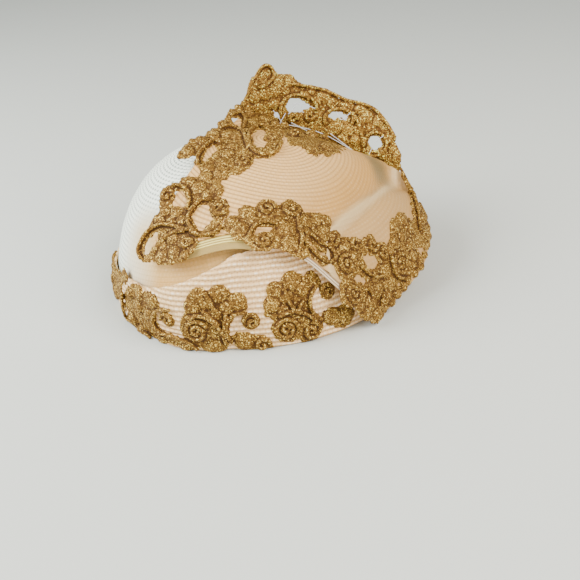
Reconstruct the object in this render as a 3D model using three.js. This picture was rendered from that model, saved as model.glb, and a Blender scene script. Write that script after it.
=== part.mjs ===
// A draped straw cocktail hat with pierced metallic lace, in millimetres, +Z up.
// The pieces are drawn about the middle of the rim, on the surface that the hat rests on, and the whole
// hat then moves by HAT_SHIFT, so that the origin is the middle of its box.
// Angles turn anticlockwise seen from above, and 0 points along +X.
import * as THREE from "three";

// Driving dimensions

const HAT_SHIFT = -3.6;
const STRAW_WALL = 2;
const CAP_HEIGHT = 100;
const CAP_LONG_RADIUS = 114;
const CAP_SHORT_RADIUS = 108;
const CAP_LONG_AXIS_DEGREES = 68;
const CAP_TOP_SHIFT = { x: -31, y: -9 };
const CAP_TUCK = 0.07;
const CAP_TUCK_HEIGHT = 24;
const CAP_FOOT = 0.6;

const LAYER_GAP = 1.2;
const SHELL_LIFT = 2.2;
const CREASE_DEPTH = 10;
const CREASE_HALF_WIDTH = 10.6;
const HEM_WIDTH = 9;
const HEM_WALL = 1.4;
const HEM_TUCK = 0.32;
const HEM_FROM = 0.12;
const HEM_TO = 0.385;
const STRIP_WIDTH = 2.8;
const STRIP_WALL = 1.2;
const STRIP_FROM = 0.56;
const STRIP_TO = 0.71;
const EDGE_GAP = 0.6;

// How many facets each straw piece has each way
const CAP_FACETS = { around: 44, up: 9 };
const WRAP_FACETS = { around: 60, up: 6 };
const SHELL_FACETS = { across: 26, back: 14 };
const HEM_FACETS = 14;
const STRIP_FACETS = 5;
const STRIP_ROWS = 2;

const LACE_WALL = 1.5;
const LACE_LIFT = 1.2;
const LACE_FOOT = 0.4;
const LACE_UNIT = 62;
const LACE_WIDTH = 42;
const LACE_FACET = 15;
const LACE_INSET = 1;
const LACE_END = 2;
const NEAR_LACE = { from: 208, to: 292, units: 3 };
const FAR_LACE = { from: 317, to: 567, units: 8 };
const RIM_LACE_RADIUS = 115;
const RIM_LACE_RISE = 3;
const RIM_LACE_MARGIN = 10;
const LEFT_LACE_UNITS = 3;
const LEFT_LACE_WIDTH = 34;
const FRONT_LACE_FROM = 0.27;
const FRONT_LACE_TO = 0.69;
const FRONT_LACE_INSET = 4;
const FRONT_LACE_WIDTH = { left: 28, right: 40 };
const FRONT_LACE_UNITS = 2;
const RIGHT_LACE_WIDTH = { near: 40, far: 14 };
const RIGHT_LACE_UNITS = 3;
const CROWN_LACE = { from: 0.36, to: 0.6, row: 0.8, reach: 0.25, width: 18, units: 1 };
const COLLAR_UNITS = 3;
const COLLAR_SLIDE = 8;

// The wrap's wall: each row is one upright section. Base, belly and fold are radii from the middle,
// height is that of the fold, and roll is how far the folded lip turns inwards. A lip that turns in by
// more than WRAP_LEVEL_ROLL drops below the fold, and its wall leans by WRAP_LIP_LEAN for each mm of roll.
const WRAP_SECTIONS = [
  { angle: 0, base: 110, belly: 112, fold: 104, height: 34, roll: 2 },
  { angle: 45, base: 112, belly: 114, fold: 105, height: 40, roll: 2 },
  { angle: 90, base: 113, belly: 115, fold: 106, height: 39, roll: 2 },
  { angle: 135, base: 111, belly: 113, fold: 104, height: 34, roll: 2 },
  { angle: 172, base: 110, belly: 112, fold: 106, height: 15, roll: 2 },
  { angle: 192, base: 110, belly: 112, fold: 108, height: 18, roll: 2 },
  { angle: 203, base: 111, belly: 113, fold: 110, height: 21, roll: 2 },
  { angle: 213, base: 113, belly: 115, fold: 112, height: 27, roll: 3 },
  { angle: 225, base: 117, belly: 119, fold: 117, height: 34, roll: 8 },
  { angle: 240, base: 122, belly: 123, fold: 120, height: 45, roll: 12 },
  { angle: 250, base: 121, belly: 122, fold: 113, height: 52, roll: 9 },
  { angle: 259, base: 116, belly: 117, fold: 104, height: 57, roll: 4 },
  { angle: 270, base: 112, belly: 112, fold: 97, height: 59, roll: 2 },
  { angle: 286, base: 110, belly: 110, fold: 97, height: 53, roll: 2 },
  { angle: 302, base: 110, belly: 110, fold: 101, height: 42, roll: 2 },
  { angle: 325, base: 109, belly: 111, fold: 106, height: 30, roll: 2 },
];
const WRAP_BELLY_SHARE = 0.42;
const WRAP_FOLD_DROP = 0.1;
const WRAP_LEVEL_ROLL = 4.6;
const WRAP_LIP_DROP = 1.3;
const WRAP_LIP_LEAN = 5;
const WRAP_FOOT = 0.4;
const PLEAT_ANGLE = 214;
const PLEAT_SPREAD = 9;
const PLEAT_DEPTH = 1.2;
const PLEAT_COUNT = 3;

// The upper layer: sections from left to right, each with a point on its near edge, one on its shoulder,
// one on its top and one on its far edge.
const SHELL_SECTIONS = [
  { near: [-75, -80, 54], shoulder: [-52, -61, 91], top: [-31, -27, 106], far: [-4, 28, 112] },
  { near: [-48, -89, 66], shoulder: [-36, -62, 92], top: [-14, -22, 106], far: [14, 35, 102] },
  { near: [-19, -93, 73], shoulder: [-10, -66, 93], top: [6, -18, 105], far: [30, 38, 93] },
  { near: [6, -98, 70], shoulder: [17, -66, 88], top: [28, -14, 101], far: [46, 39, 85] },
  { near: [29, -103, 57], shoulder: [43, -73, 74], top: [49, -13, 94], far: [61, 38, 78] },
  { near: [50, -106, 35], shoulder: [68, -64, 64], top: [73, -12, 83], far: [77, 35, 72] },
  { near: [66, -99, 18], shoulder: [92, -52, 50], top: [98, -6, 64], far: [94, 30, 66] },
  { near: [81, -90, 5], shoulder: [113, -55, 20], top: [121, -18, 34], far: [110, 21, 61] },
];

// The crease, seen from above: it runs from the near edge's lace to the far right corner.
const CREASE_LINE = [
  { x: 38, y: -84 },
  { x: 60, y: -58 },
  { x: 79, y: -29 },
  { x: 104, y: 12 },
];

// The free-standing lace behind the upper layer: how far it rises and leans back along its base.
const COLLAR_SECTIONS = [
  { along: 0, rise: 30, lean: 14 },
  { along: 0.08, rise: 34, lean: 14 },
  { along: 0.2, rise: 37, lean: 11 },
  { along: 0.4, rise: 39, lean: 9 },
  { along: 0.6, rise: 38, lean: 9 },
  { along: 0.8, rise: 34, lean: 9 },
  { along: 0.93, rise: 24, lean: 6 },
  { along: 1, rise: 13, lean: 3 },
];
const COLLAR_GAP = 3.6;

// One unit of the lace pattern, drawn across a strip LACE_UNIT long and LACE_WIDTH wide.
// The open edge runs in lobes and the sewn edge in shallow scallops.
const LACE_OPEN_EDGE = [
  { along: 0, across: 29 },
  { along: 5, across: 27 },
  { along: 10, across: 31 },
  { along: 14, across: 38 },
  { along: 21, across: 41 },
  { along: 28, across: 42 },
  { along: 35, across: 40 },
  { along: 40, across: 35 },
  { along: 46, across: 29 },
  { along: 51, across: 33 },
  { along: 57, across: 33 },
];
const LACE_SEWN_EDGE = [
  { along: 0, across: 2.5 },
  { along: 9, across: 0 },
  { along: 18, across: 1.5 },
  { along: 27, across: 0 },
  { along: 36, across: 3 },
  { along: 45, across: 0 },
  { along: 54, across: 1 },
];
const LACE_GAPS = [
  { along: 20, across: 13, length: 7, width: 5, turn: 20 },
  { along: 35, across: 13, length: 5, width: 7, turn: -15 },
  { along: 56, across: 15, length: 5, width: 6.5, turn: 10 },
];
const GAP_SIDES = 6;

// How finely curves are walked and measured, and the small steps that give a surface's slope
const WALK_STEPS = 40;
const LENGTH_STEPS = 60;
const SLOPE_STEP = 0.004;
const EDGE_SLOPE_STEP = 0.04;
const CREASE_POINTS = 40;
const CLEAR_REACH = 1.6;
const CLEAR_PASSES = 24;
const JOIN_DIGITS = 3;
const FACE_DIGITS = 4;

const STRAW = { color: 0xf3e6d3, roughness: 0.55, metalness: 0 };
const STRAW_SHADE = { color: 0xe9d3b4, roughness: 0.6, metalness: 0 };
const PALE_STRAW = { color: 0xf5ecc6, roughness: 0.4, metalness: 0 };
const SILVER_STRAW = { color: 0xe6e6e2, roughness: 0.3, metalness: 0.1 };
const LACE = { color: 0xa5813a, roughness: 0.45, metalness: 0.8 };
const DULL_LACE = { color: 0x8a7446, roughness: 0.6, metalness: 0.6 };

// Numbers and curves

const radians = (degrees) => (degrees * Math.PI) / 180;
const clamp = THREE.MathUtils.clamp;
const mix = THREE.MathUtils.lerp;

// A smooth way through numbers that stand at given places, as a function of the place.
function smoothRow(places, values) {
  const curve = new THREE.CubicInterpolant(
    new Float64Array(places),
    new Float64Array(values),
    1,
    new Float64Array(1),
  );
  return (place) => curve.evaluate(clamp(place, places[0], places.at(-1)))[0];
}

// The named columns of a table as functions of one of them. A table that wraps repeats after a full turn.
function smoothTable(rows, key, turn) {
  const all = turn
    ? [-1, 0, 1].flatMap((lap) => rows.map((row) => ({ ...row, [key]: row[key] + lap * turn })))
    : rows;
  const places = all.map((row) => row[key]);
  const columns = Object.keys(rows[0]).filter((name) => name !== key);
  return Object.fromEntries(
    columns.map((name) => [
      name,
      smoothRow(
        places,
        all.map((row) => row[name]),
      ),
    ]),
  );
}

// How far through a curve, 0 to 1, a given distance along it lies.
function walk(curve, distance) {
  let last = curve(0);
  let walked = 0;
  for (let step = 1; step <= WALK_STEPS; step++) {
    const next = curve(step / WALK_STEPS);
    const stride = next.distanceTo(last);
    if (walked + stride >= distance || step === WALK_STEPS)
      return (step - 1 + (distance - walked) / stride) / WALK_STEPS;
    walked += stride;
    last = next;
  }
}

function curveLength(curve) {
  let length = 0;
  for (let step = 0; step < LENGTH_STEPS; step++)
    length += curve(step / LENGTH_STEPS).distanceTo(curve((step + 1) / LENGTH_STEPS));
  return length;
}

// The direction square to a surface, on the side that u cross v points to.
function squareTo(surface, u, v) {
  const [low, high] = [clamp(v - SLOPE_STEP, 0, 1), clamp(v + SLOPE_STEP, 0, 1)];
  const alongU = surface(u + SLOPE_STEP, v).sub(surface(u - SLOPE_STEP, v));
  const alongV = surface(u, high).sub(surface(u, low));
  return alongU.cross(alongV).normalize();
}

// Closed solids

// A closed body from corner points and the triangles between them. Corners that coincide are joined.
function closedBody(corners, triangles) {
  const kept = new Map();
  const places = [];
  const index = corners.map((corner) => {
    const key = corner.toArray().map((value) => value.toFixed(JOIN_DIGITS)).join(" ");
    if (!kept.has(key)) {
      kept.set(key, places.length / 3);
      places.push(corner.x, corner.y, corner.z);
    }
    return kept.get(key);
  });
  const faces = triangles
    .map((triangle) => triangle.map((corner) => index[corner]))
    .filter(([a, b, c]) => a !== b && b !== c && c !== a);
  const geometry = new THREE.BufferGeometry();
  geometry.setAttribute("position", new THREE.Float32BufferAttribute(places, 3));
  geometry.setIndex(faces.flat());
  return geometry;
}

// A wall between two faces that are given as functions of u and v, 0 to 1 each. A ring closes along u.
function wallBody(outer, inner, stepsU, stepsV, ring = false) {
  const corners = [];
  const columns = ring ? stepsU : stepsU + 1;
  for (const face of [outer, inner])
    for (let i = 0; i < columns; i++)
      for (let j = 0; j <= stepsV; j++) corners.push(face(i / stepsU, j / stepsV));
  const corner = (side, i, j) => side * columns * (stepsV + 1) + (i % columns) * (stepsV + 1) + j;
  const triangles = [];
  const quad = (a, b, c, d) => triangles.push([a, b, c], [a, c, d]);
  for (let i = 0; i < stepsU; i++) {
    for (let j = 0; j < stepsV; j++) {
      quad(corner(0, i, j), corner(0, i + 1, j), corner(0, i + 1, j + 1), corner(0, i, j + 1));
      quad(corner(1, i, j), corner(1, i, j + 1), corner(1, i + 1, j + 1), corner(1, i + 1, j));
    }
    quad(corner(0, i + 1, 0), corner(0, i, 0), corner(1, i, 0), corner(1, i + 1, 0));
    quad(corner(0, i, stepsV), corner(0, i + 1, stepsV), corner(1, i + 1, stepsV), corner(1, i, stepsV));
  }
  if (!ring)
    for (let j = 0; j < stepsV; j++) {
      quad(corner(0, 0, j), corner(0, 0, j + 1), corner(1, 0, j + 1), corner(1, 0, j));
      quad(corner(0, stepsU, j + 1), corner(0, stepsU, j), corner(1, stepsU, j), corner(1, stepsU, j + 1));
    }
  return closedBody(corners, triangles);
}

// Flat outlines with gaps, cut into facets no longer than LACE_FACET and laid on a surface as one wall.
// lay gives the place of a point along and across the strip, at a depth above the surface.
function laidBody(patches, lay) {
  const faces = patches.flatMap(({ outline, gaps }) => {
    const flat = [outline, ...gaps].flat();
    return THREE.ShapeUtils.triangulateShape(outline, gaps).flatMap((face) =>
      splitFace(face.map((corner) => flat[corner])),
    );
  });
  const corners = [];
  const triangles = [];
  const edges = new Map();
  const name = (point) => point.x.toFixed(FACE_DIGITS) + " " + point.y.toFixed(FACE_DIGITS);
  const push = (point, depth) => corners.push(lay(point.x, point.y, depth)) - 1;
  for (const face of faces) {
    const upper = face.map((point) => push(point, LACE_LIFT + LACE_WALL));
    const lower = face.map((point) => push(point, LACE_LIFT));
    triangles.push(upper, [lower[0], lower[2], lower[1]]);
    for (let side = 0; side < 3; side++) {
      const next = (side + 1) % 3;
      const back = name(face[next]) + "|" + name(face[side]);
      const wall = [upper[side], upper[next], lower[side], lower[next]];
      if (!edges.delete(back)) edges.set(name(face[side]) + "|" + name(face[next]), wall);
    }
  }
  for (const [a, b, c, d] of edges.values()) triangles.push([b, a, c], [b, c, d]);
  return closedBody(corners, triangles);
}

// Halves a flat triangle across its longest side until no side is longer than LACE_FACET.
function splitFace(face) {
  const lengths = [0, 1, 2].map((side) => face[side].distanceTo(face[(side + 1) % 3]));
  const longest = lengths.indexOf(Math.max(...lengths));
  if (lengths[longest] <= LACE_FACET) return [face];
  const [a, b, c] = [0, 1, 2].map((turn) => face[(longest + turn) % 3]);
  const middle = a.clone().add(b).multiplyScalar(0.5);
  return [...splitFace([a, middle, c]), ...splitFace([middle, b, c])];
}

// The cap

const capRadius = (angle, grow = 0) => {
  const turned = radians(angle - CAP_LONG_AXIS_DEGREES);
  return 1 / Math.hypot(
    Math.cos(turned) / (CAP_LONG_RADIUS + grow),
    Math.sin(turned) / (CAP_SHORT_RADIUS + grow),
  );
};

// The cap's face at an angle and a rise from 0 at the rim to 90 at the top, grown by a margin.
function capPoint(angle, rise, grow = 0) {
  const reach = Math.cos(radians(rise));
  const height = (CAP_HEIGHT + grow) * Math.sin(radians(rise));
  const low = clamp(1 - height / CAP_TUCK_HEIGHT, 0, 1);
  const radius = capRadius(angle, grow) * reach * (1 - CAP_TUCK * low * low);
  return new THREE.Vector3(
    CAP_TOP_SHIFT.x * (1 - reach) + radius * Math.cos(radians(angle)),
    CAP_TOP_SHIFT.y * (1 - reach) + radius * Math.sin(radians(angle)),
    height,
  );
}

function capBody() {
  const face = (grow) => (u, v) => {
    const point = capPoint(360 * u, 90 * v, grow);
    point.z = Math.max(point.z, 0) + (v === 0 ? CAP_FOOT : 0);
    return point;
  };
  return wallBody(face(0), face(-STRAW_WALL), CAP_FACETS.around, CAP_FACETS.up, true);
}

// How far a point stands outside the grown cap, measured level.
function outsideCap(point, grow) {
  const share = clamp(point.z / (CAP_HEIGHT + grow), 0, 1);
  const reach = Math.sqrt(1 - share * share);
  const x = point.x - CAP_TOP_SHIFT.x * (1 - reach);
  const y = point.y - CAP_TOP_SHIFT.y * (1 - reach);
  const angle = THREE.MathUtils.radToDeg(Math.atan2(y, x));
  return Math.hypot(x, y) - capRadius(angle, grow) * reach;
}

// Moves a point out of the cap, away from the middle, until it keeps the margin.
function clearOfCap(point, margin) {
  if (outsideCap(point, margin) >= 0) return point;
  let [low, high] = [1, CLEAR_REACH];
  for (let pass = 0; pass < CLEAR_PASSES; pass++) {
    const middle = (low + high) / 2;
    if (outsideCap(point.clone().multiplyScalar(middle), margin) < 0) low = middle;
    else high = middle;
  }
  return point.multiplyScalar(high);
}

// The wrap

const wrapColumns = smoothTable(WRAP_SECTIONS, "angle", 360);

// The wrap's outer face: u goes once round, and v goes from the rim over the fold to the lip.
function wrapPoint(u, v, inwards = 0) {
  const angle = 360 * u;
  const [base, belly, fold, height, roll] = ["base", "belly", "fold", "height", "roll"].map((name) =>
    wrapColumns[name](((angle % 360) + 360) % 360),
  );
  const profile = new THREE.SplineCurve([
    new THREE.Vector2(base, 0),
    new THREE.Vector2(belly, WRAP_BELLY_SHARE * height),
    new THREE.Vector2(fold, height - WRAP_FOLD_DROP * roll),
    new THREE.Vector2(fold - roll, height - WRAP_LIP_DROP * (roll - WRAP_LEVEL_ROLL)),
  ]);
  const share = clamp(v, 0, 1);
  const at = profile.getPoint(share);
  const away = (angle - PLEAT_ANGLE) / PLEAT_SPREAD;
  const pleat = PLEAT_DEPTH * Math.exp(-away * away) * Math.sin(Math.PI * PLEAT_COUNT * v);
  const lean = radians(WRAP_LIP_LEAN * roll * share * share);
  const radius = at.x + pleat - inwards * Math.cos(lean);
  const level = v === 0 ? 0 : Math.max(at.y - inwards * Math.sin(lean), WRAP_FOOT);
  const point = new THREE.Vector3(
    radius * Math.cos(radians(angle)),
    radius * Math.sin(radians(angle)),
    level,
  );
  return v === 0 ? point : clearOfCap(point, LAYER_GAP + STRAW_WALL - inwards);
}

function wrapBody() {
  const face = (inwards) => (u, v) => wrapPoint(u, v, inwards);
  return wallBody(face(0), face(STRAW_WALL), WRAP_FACETS.around, WRAP_FACETS.up, true);
}

// The upper layer

const stations = SHELL_SECTIONS.map((row, place) => ({ ...row, place: place / (SHELL_SECTIONS.length - 1) }));
const shellColumns = Object.fromEntries(
  ["near", "shoulder", "top", "far"].map((name) => [
    name,
    [0, 1, 2].map((axis) =>
      smoothRow(
        stations.map((row) => row.place),
        stations.map((row) => row[name][axis]),
      ),
    ),
  ]),
);
const creaseCurve = new THREE.SplineCurve(CREASE_LINE.map(({ x, y }) => new THREE.Vector2(x, y)));
const creasePoints = creaseCurve.getPoints(CREASE_POINTS);

function creaseDip(x, y) {
  const here = new THREE.Vector2(x, y);
  const away = Math.min(...creasePoints.map((point) => point.distanceTo(here)));
  return CREASE_DEPTH * Math.exp(-((away / CREASE_HALF_WIDTH) ** 2));
}

// The upper layer's face: u goes from its left edge to its right edge, v from its near to its far edge.
function shellPoint(u, v) {
  const knots = ["near", "shoulder", "top", "far"].map(
    (name) => new THREE.Vector3(...shellColumns[name].map((column) => column(u))),
  );
  const point = new THREE.CatmullRomCurve3(knots, false, "centripetal").getPoint(clamp(v, 0, 1));
  if (v < 0) {
    const along = knots[1].clone().sub(knots[0]);
    point.addScaledVector(along, v);
  }
  point.z -= creaseDip(point.x, point.y);
  return clearOfCap(point, LAYER_GAP + SHELL_LIFT + STRAW_WALL);
}

function shellBody() {
  const inner = (u, v) => shellPoint(u, v).addScaledVector(squareTo(shellPoint, u, v), -STRAW_WALL);
  return wallBody(shellPoint, inner, SHELL_FACETS.across, SHELL_FACETS.back);
}

// A strip below the near edge of the upper layer, tucked in under it, seen from its lower edge upwards.
function belowEdge(from, to, width, u, v, inwards = 0) {
  const share = mix(from, to, u);
  const edge = shellPoint(share, 0);
  const outwards = squareTo(shellPoint, share, 0);
  const down = edge.clone().sub(shellPoint(share, EDGE_SLOPE_STEP)).normalize();
  const drop = EDGE_GAP + width * (1 - v);
  return edge.addScaledVector(down, drop).addScaledVector(outwards, -inwards - HEM_TUCK * drop);
}

function stripBody(from, to, width, wall, facets) {
  const face = (inwards) => (u, v) => belowEdge(from, to, width, u, v, inwards);
  return wallBody(face(0), face(wall), facets, STRIP_ROWS);
}

// The lace

// The units of a strip of lace as flat patches. widthAt gives the strip's width at a place along it.
function lacePatches(length, units, widthAt) {
  const stretch = length / (units * LACE_UNIT);
  return [...Array(units).keys()].map((unit) => {
    const lay = (along, across) => {
      const place = (unit * LACE_UNIT + along) * stretch;
      return new THREE.Vector2(place, (across * widthAt(place)) / LACE_WIDTH);
    };
    const edge = (rows) => [...rows, { along: LACE_UNIT, across: rows[0].across }];
    const points = (rows) => edge(rows).map(({ along, across }) => lay(along, across));
    const gaps = LACE_GAPS.map((gap) =>
      [...Array(GAP_SIDES).keys()].map((side) => {
        const around = (-2 * Math.PI * side) / GAP_SIDES;
        const point = new THREE.Vector2(Math.cos(around) * gap.length, Math.sin(around) * gap.width);
        point.rotateAround(new THREE.Vector2(), radians(gap.turn));
        return lay(gap.along + point.x, gap.across + point.y);
      }),
    );
    return { outline: [...points(LACE_SEWN_EDGE), ...points(LACE_OPEN_EDGE).reverse()], gaps };
  });
}

function laceBody(length, units, widthAt, lay) {
  return laidBody(lacePatches(length, units, widthAt), lay);
}

// Lays a strip on a surface that is given as a function of u and v, with its height above the surface.
const layOn = (surface, place) => (along, across, depth) => {
  const { u, v } = place(along, across);
  const point = surface(u, v).addScaledVector(squareTo(surface, u, v), depth);
  point.z = Math.max(point.z, LACE_FOOT);
  return point;
};

const shellEdge = (u) => (v) => shellPoint(u, v);
const shellRow = (v) => (u) => shellPoint(u, v);

// Lace round the rim between two angles, on the wrap.
function rimLace(from, to, units) {
  const middle = (angle) => 2 * Math.PI * RIM_LACE_RADIUS * ((angle - from) / 360);
  const length = middle(to);
  const angleAt = (along) => mix(from, to, along / length);
  const room = (angle) => curveLength((v) => wrapPoint(angle / 360, v));
  const widthAt = (along) => Math.min(LACE_WIDTH, room(angleAt(along)) - RIM_LACE_MARGIN);
  const lay = layOn(wrapPoint, (along, across) => {
    const u = angleAt(along) / 360;
    return { u, v: walk((v) => wrapPoint(u, v), RIM_LACE_RISE + across) };
  });
  return laceBody(length, units, widthAt, lay);
}

// Lace on the upper layer along its left edge, from the peak down to the near corner.
function leftLace() {
  const length = curveLength(shellEdge(0)) - 2 * LACE_END;
  const lay = layOn(shellPoint, (along, across) => {
    const v = walk(shellEdge(0), length + LACE_END - along);
    return { u: walk(shellRow(v), LACE_INSET + across), v };
  });
  return laceBody(length, LEFT_LACE_UNITS, () => LEFT_LACE_WIDTH, lay);
}

// Lace on the upper layer along its near edge.
function frontLace() {
  const row = (share) => shellPoint(mix(FRONT_LACE_FROM, FRONT_LACE_TO, share), 0);
  const length = curveLength(row);
  const lay = layOn(shellPoint, (along, across) => {
    const u = mix(FRONT_LACE_FROM, FRONT_LACE_TO, walk(row, along));
    return { u, v: walk(shellEdge(u), FRONT_LACE_INSET + across) };
  });
  const widthAt = (along) => mix(FRONT_LACE_WIDTH.left, FRONT_LACE_WIDTH.right, along / length);
  return laceBody(length, FRONT_LACE_UNITS, widthAt, lay);
}

// Lace on the upper layer along its right edge, from the near corner up to the far one.
function rightLace() {
  const length = curveLength(shellEdge(1)) - 2 * LACE_END;
  const back = (v) => (share) => shellPoint(1 - share, v);
  const lay = layOn(shellPoint, (along, across) => {
    const v = walk(shellEdge(1), LACE_END + along);
    return { u: 1 - walk(back(v), LACE_INSET + across), v };
  });
  const widthAt = (along) => mix(RIGHT_LACE_WIDTH.near, RIGHT_LACE_WIDTH.far, along / length);
  return laceBody(length, RIGHT_LACE_UNITS, widthAt, lay);
}

// A short piece of lace that lies on the crown in front of the collar.
function crownLace() {
  const row = (share) => shellPoint(mix(CROWN_LACE.from, CROWN_LACE.to, share), CROWN_LACE.row);
  const length = curveLength(row);
  const lay = layOn(shellPoint, (along, across) => {
    const u = mix(CROWN_LACE.from, CROWN_LACE.to, walk(row, along));
    const back = (share) => shellPoint(u, CROWN_LACE.row + share * CROWN_LACE.reach);
    return { u, v: CROWN_LACE.row + CROWN_LACE.reach * walk(back, across) };
  });
  return laceBody(length, CROWN_LACE.units, () => CROWN_LACE.width, lay);
}

// The collar stands behind the far edge of the upper layer, and its v runs upwards.
const collarColumns = smoothTable(COLLAR_SECTIONS, "along");

function collarPoint(u, v) {
  const edge = shellPoint(clamp(u, 0, 1), 1);
  return new THREE.Vector3(
    edge.x + COLLAR_SLIDE * v * (1 - u),
    edge.y + COLLAR_GAP + collarColumns.lean(u) * v * v,
    edge.z + collarColumns.rise(u) * v,
  );
}

function collarLace() {
  const base = (u) => collarPoint(u, 0);
  const length = curveLength(base) - 2 * LACE_END;
  const lay = layOn(collarPoint, (along, across) => {
    const u = walk(base, length + LACE_END - along);
    return { u, v: 1 - Math.sin((Math.PI / 2) * (across / LACE_WIDTH)) };
  });
  return laceBody(length, COLLAR_UNITS, () => LACE_WIDTH, lay);
}

const hat = new THREE.Group();
hat.position.x = HAT_SHIFT;

function addPiece(name, geometry, finish) {
  const mesh = new THREE.Mesh(geometry, new THREE.MeshStandardMaterial(finish));
  mesh.name = name;
  hat.add(mesh);
}

addPiece("crown_cap", capBody(), STRAW_SHADE);
addPiece("brim_wrap", wrapBody(), STRAW);
addPiece("upper_shell", shellBody(), STRAW);
addPiece("shell_hem", stripBody(HEM_FROM, HEM_TO, HEM_WIDTH, HEM_WALL, HEM_FACETS), PALE_STRAW);
addPiece("straw_strip", stripBody(STRIP_FROM, STRIP_TO, STRIP_WIDTH, STRIP_WALL, STRIP_FACETS), SILVER_STRAW);
addPiece("rim_lace_near", rimLace(NEAR_LACE.from, NEAR_LACE.to, NEAR_LACE.units), LACE);
addPiece("rim_lace_far", rimLace(FAR_LACE.from, FAR_LACE.to, FAR_LACE.units), LACE);
addPiece("left_lace", leftLace(), LACE);
addPiece("front_lace", frontLace(), LACE);
addPiece("right_lace", rightLace(), LACE);
addPiece("crown_lace", crownLace(), DULL_LACE);
addPiece("collar_lace", collarLace(), LACE);

export default hat;
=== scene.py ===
"""A draped straw cocktail hat with gold lace, dressed round its solid model.

The hat is drawn in millimetres about the middle of its rim and comes into the scene in metres.
Angles turn anticlockwise seen from above, and 0 points along +X.
"""

import math

import bmesh
import bpy
import numpy as np
from bpy.props import FloatProperty, FloatVectorProperty, PointerProperty
from mathutils import Matrix, Vector
from mathutils.bvhtree import BVHTree


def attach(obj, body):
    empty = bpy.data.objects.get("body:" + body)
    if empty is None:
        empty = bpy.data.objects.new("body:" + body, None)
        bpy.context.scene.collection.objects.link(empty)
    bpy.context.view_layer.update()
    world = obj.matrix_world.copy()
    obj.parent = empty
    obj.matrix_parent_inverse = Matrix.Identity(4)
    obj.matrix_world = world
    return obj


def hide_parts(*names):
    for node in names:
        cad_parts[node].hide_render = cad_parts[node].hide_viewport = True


bl_info = {
    "name": "Straw cocktail hat",
    "version": (1, 0, 0),
    "blender": (4, 5, 0),
    "location": "View3D > Sidebar > Hat",
    "description": "Builds a draped straw hat with gold lace round its solid model",
    "category": "Object",
}

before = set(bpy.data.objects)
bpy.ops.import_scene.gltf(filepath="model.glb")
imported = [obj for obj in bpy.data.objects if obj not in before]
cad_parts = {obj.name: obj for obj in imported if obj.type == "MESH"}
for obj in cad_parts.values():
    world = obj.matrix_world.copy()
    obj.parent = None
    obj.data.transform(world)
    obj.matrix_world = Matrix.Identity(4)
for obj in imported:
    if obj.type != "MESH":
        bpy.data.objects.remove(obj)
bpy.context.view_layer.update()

MM = 0.001
HAT_SHIFT = -3.6


def table(columns, *rows):
    """A table with named columns."""
    return [dict(zip(columns, row)) for row in rows]


# The straw layers, as in the solids

CAP = {"height": 100, "long": 114, "short": 108, "long_axis": 68, "tuck": 0.07, "tuck_height": 24}
CAP_TOP_SHIFT = np.array([-31.0, -9.0])
CAP_FOOT = 0.6
STRAW_WALL = 2
LAYER_GAP = 1.2
SHELL_LIFT = 2.2
CREASE = {"depth": 10, "half_width": 10.6}
CLEAR_REACH = 1.6
CLEAR_PASSES = 24
SLOPE_STEP = 0.004

# Each row is one upright section of the wrap's wall. Base, belly and fold are radii from the middle,
# height is that of the fold, and roll is how far the folded lip turns inwards.
WRAP_SECTIONS = table(
    ("angle", "base", "belly", "fold", "height", "roll"),
    (0, 110, 112, 104, 34, 2),
    (45, 112, 114, 105, 40, 2),
    (90, 113, 115, 106, 39, 2),
    (135, 111, 113, 104, 34, 2),
    (172, 110, 112, 106, 15, 2),
    (192, 110, 112, 108, 18, 2),
    (203, 111, 113, 110, 21, 2),
    (213, 113, 115, 112, 27, 3),
    (225, 117, 119, 117, 34, 8),
    (240, 122, 123, 120, 45, 12),
    (250, 121, 122, 113, 52, 9),
    (259, 116, 117, 104, 57, 4),
    (270, 112, 112, 97, 59, 2),
    (286, 110, 110, 97, 53, 2),
    (302, 110, 110, 101, 42, 2),
    (325, 109, 111, 106, 30, 2),
)
WRAP_BELLY_SHARE = 0.42
WRAP_FOLD_DROP = 0.1
WRAP_LEVEL_ROLL = 4.6
WRAP_LIP_DROP = 1.3
WRAP_FOOT = 0.4
PLEATS = {"angle": 214, "spread": 9, "depth": 1.2, "count": 3}

# The upper layer from left to right: a point on its near edge, its shoulder, its top and its far edge.
SHELL_SECTIONS = table(
    ("near", "shoulder", "top", "far"),
    ((-75, -80, 54), (-52, -61, 91), (-31, -27, 106), (-4, 28, 112)),
    ((-48, -89, 66), (-36, -62, 92), (-14, -22, 106), (14, 35, 102)),
    ((-19, -93, 73), (-10, -66, 93), (6, -18, 105), (30, 38, 93)),
    ((6, -98, 70), (17, -66, 88), (28, -14, 101), (46, 39, 85)),
    ((29, -103, 57), (43, -73, 74), (49, -13, 94), (61, 38, 78)),
    ((50, -106, 35), (68, -64, 64), (73, -12, 83), (77, 35, 72)),
    ((66, -99, 18), (92, -52, 50), (98, -6, 64), (94, 30, 66)),
    ((81, -90, 5), (113, -55, 20), (121, -18, 34), (110, 21, 61)),
)
# The bottom of the crease and the edge of the panel to its right, seen from above
CREASE_LINE = [(38, -84), (60, -58), (79, -29), (104, 12)]
FOLD_LINE = [(38, -84), (60, -58), (77, -33), (88, -12), (99, 16), (106, 34)]
LINE_STEPS = 41

# The standing lace: how far it rises and leans back along its base.
COLLAR_SECTIONS = table(
    ("along", "rise", "lean"),
    (0.0, 30, 14),
    (0.08, 34, 14),
    (0.2, 37, 11),
    (0.4, 39, 9),
    (0.6, 38, 9),
    (0.8, 34, 9),
    (0.93, 24, 6),
    (1.0, 13, 3),
)
COLLAR_GAP = 3.6
COLLAR_SLIDE = 8

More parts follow.
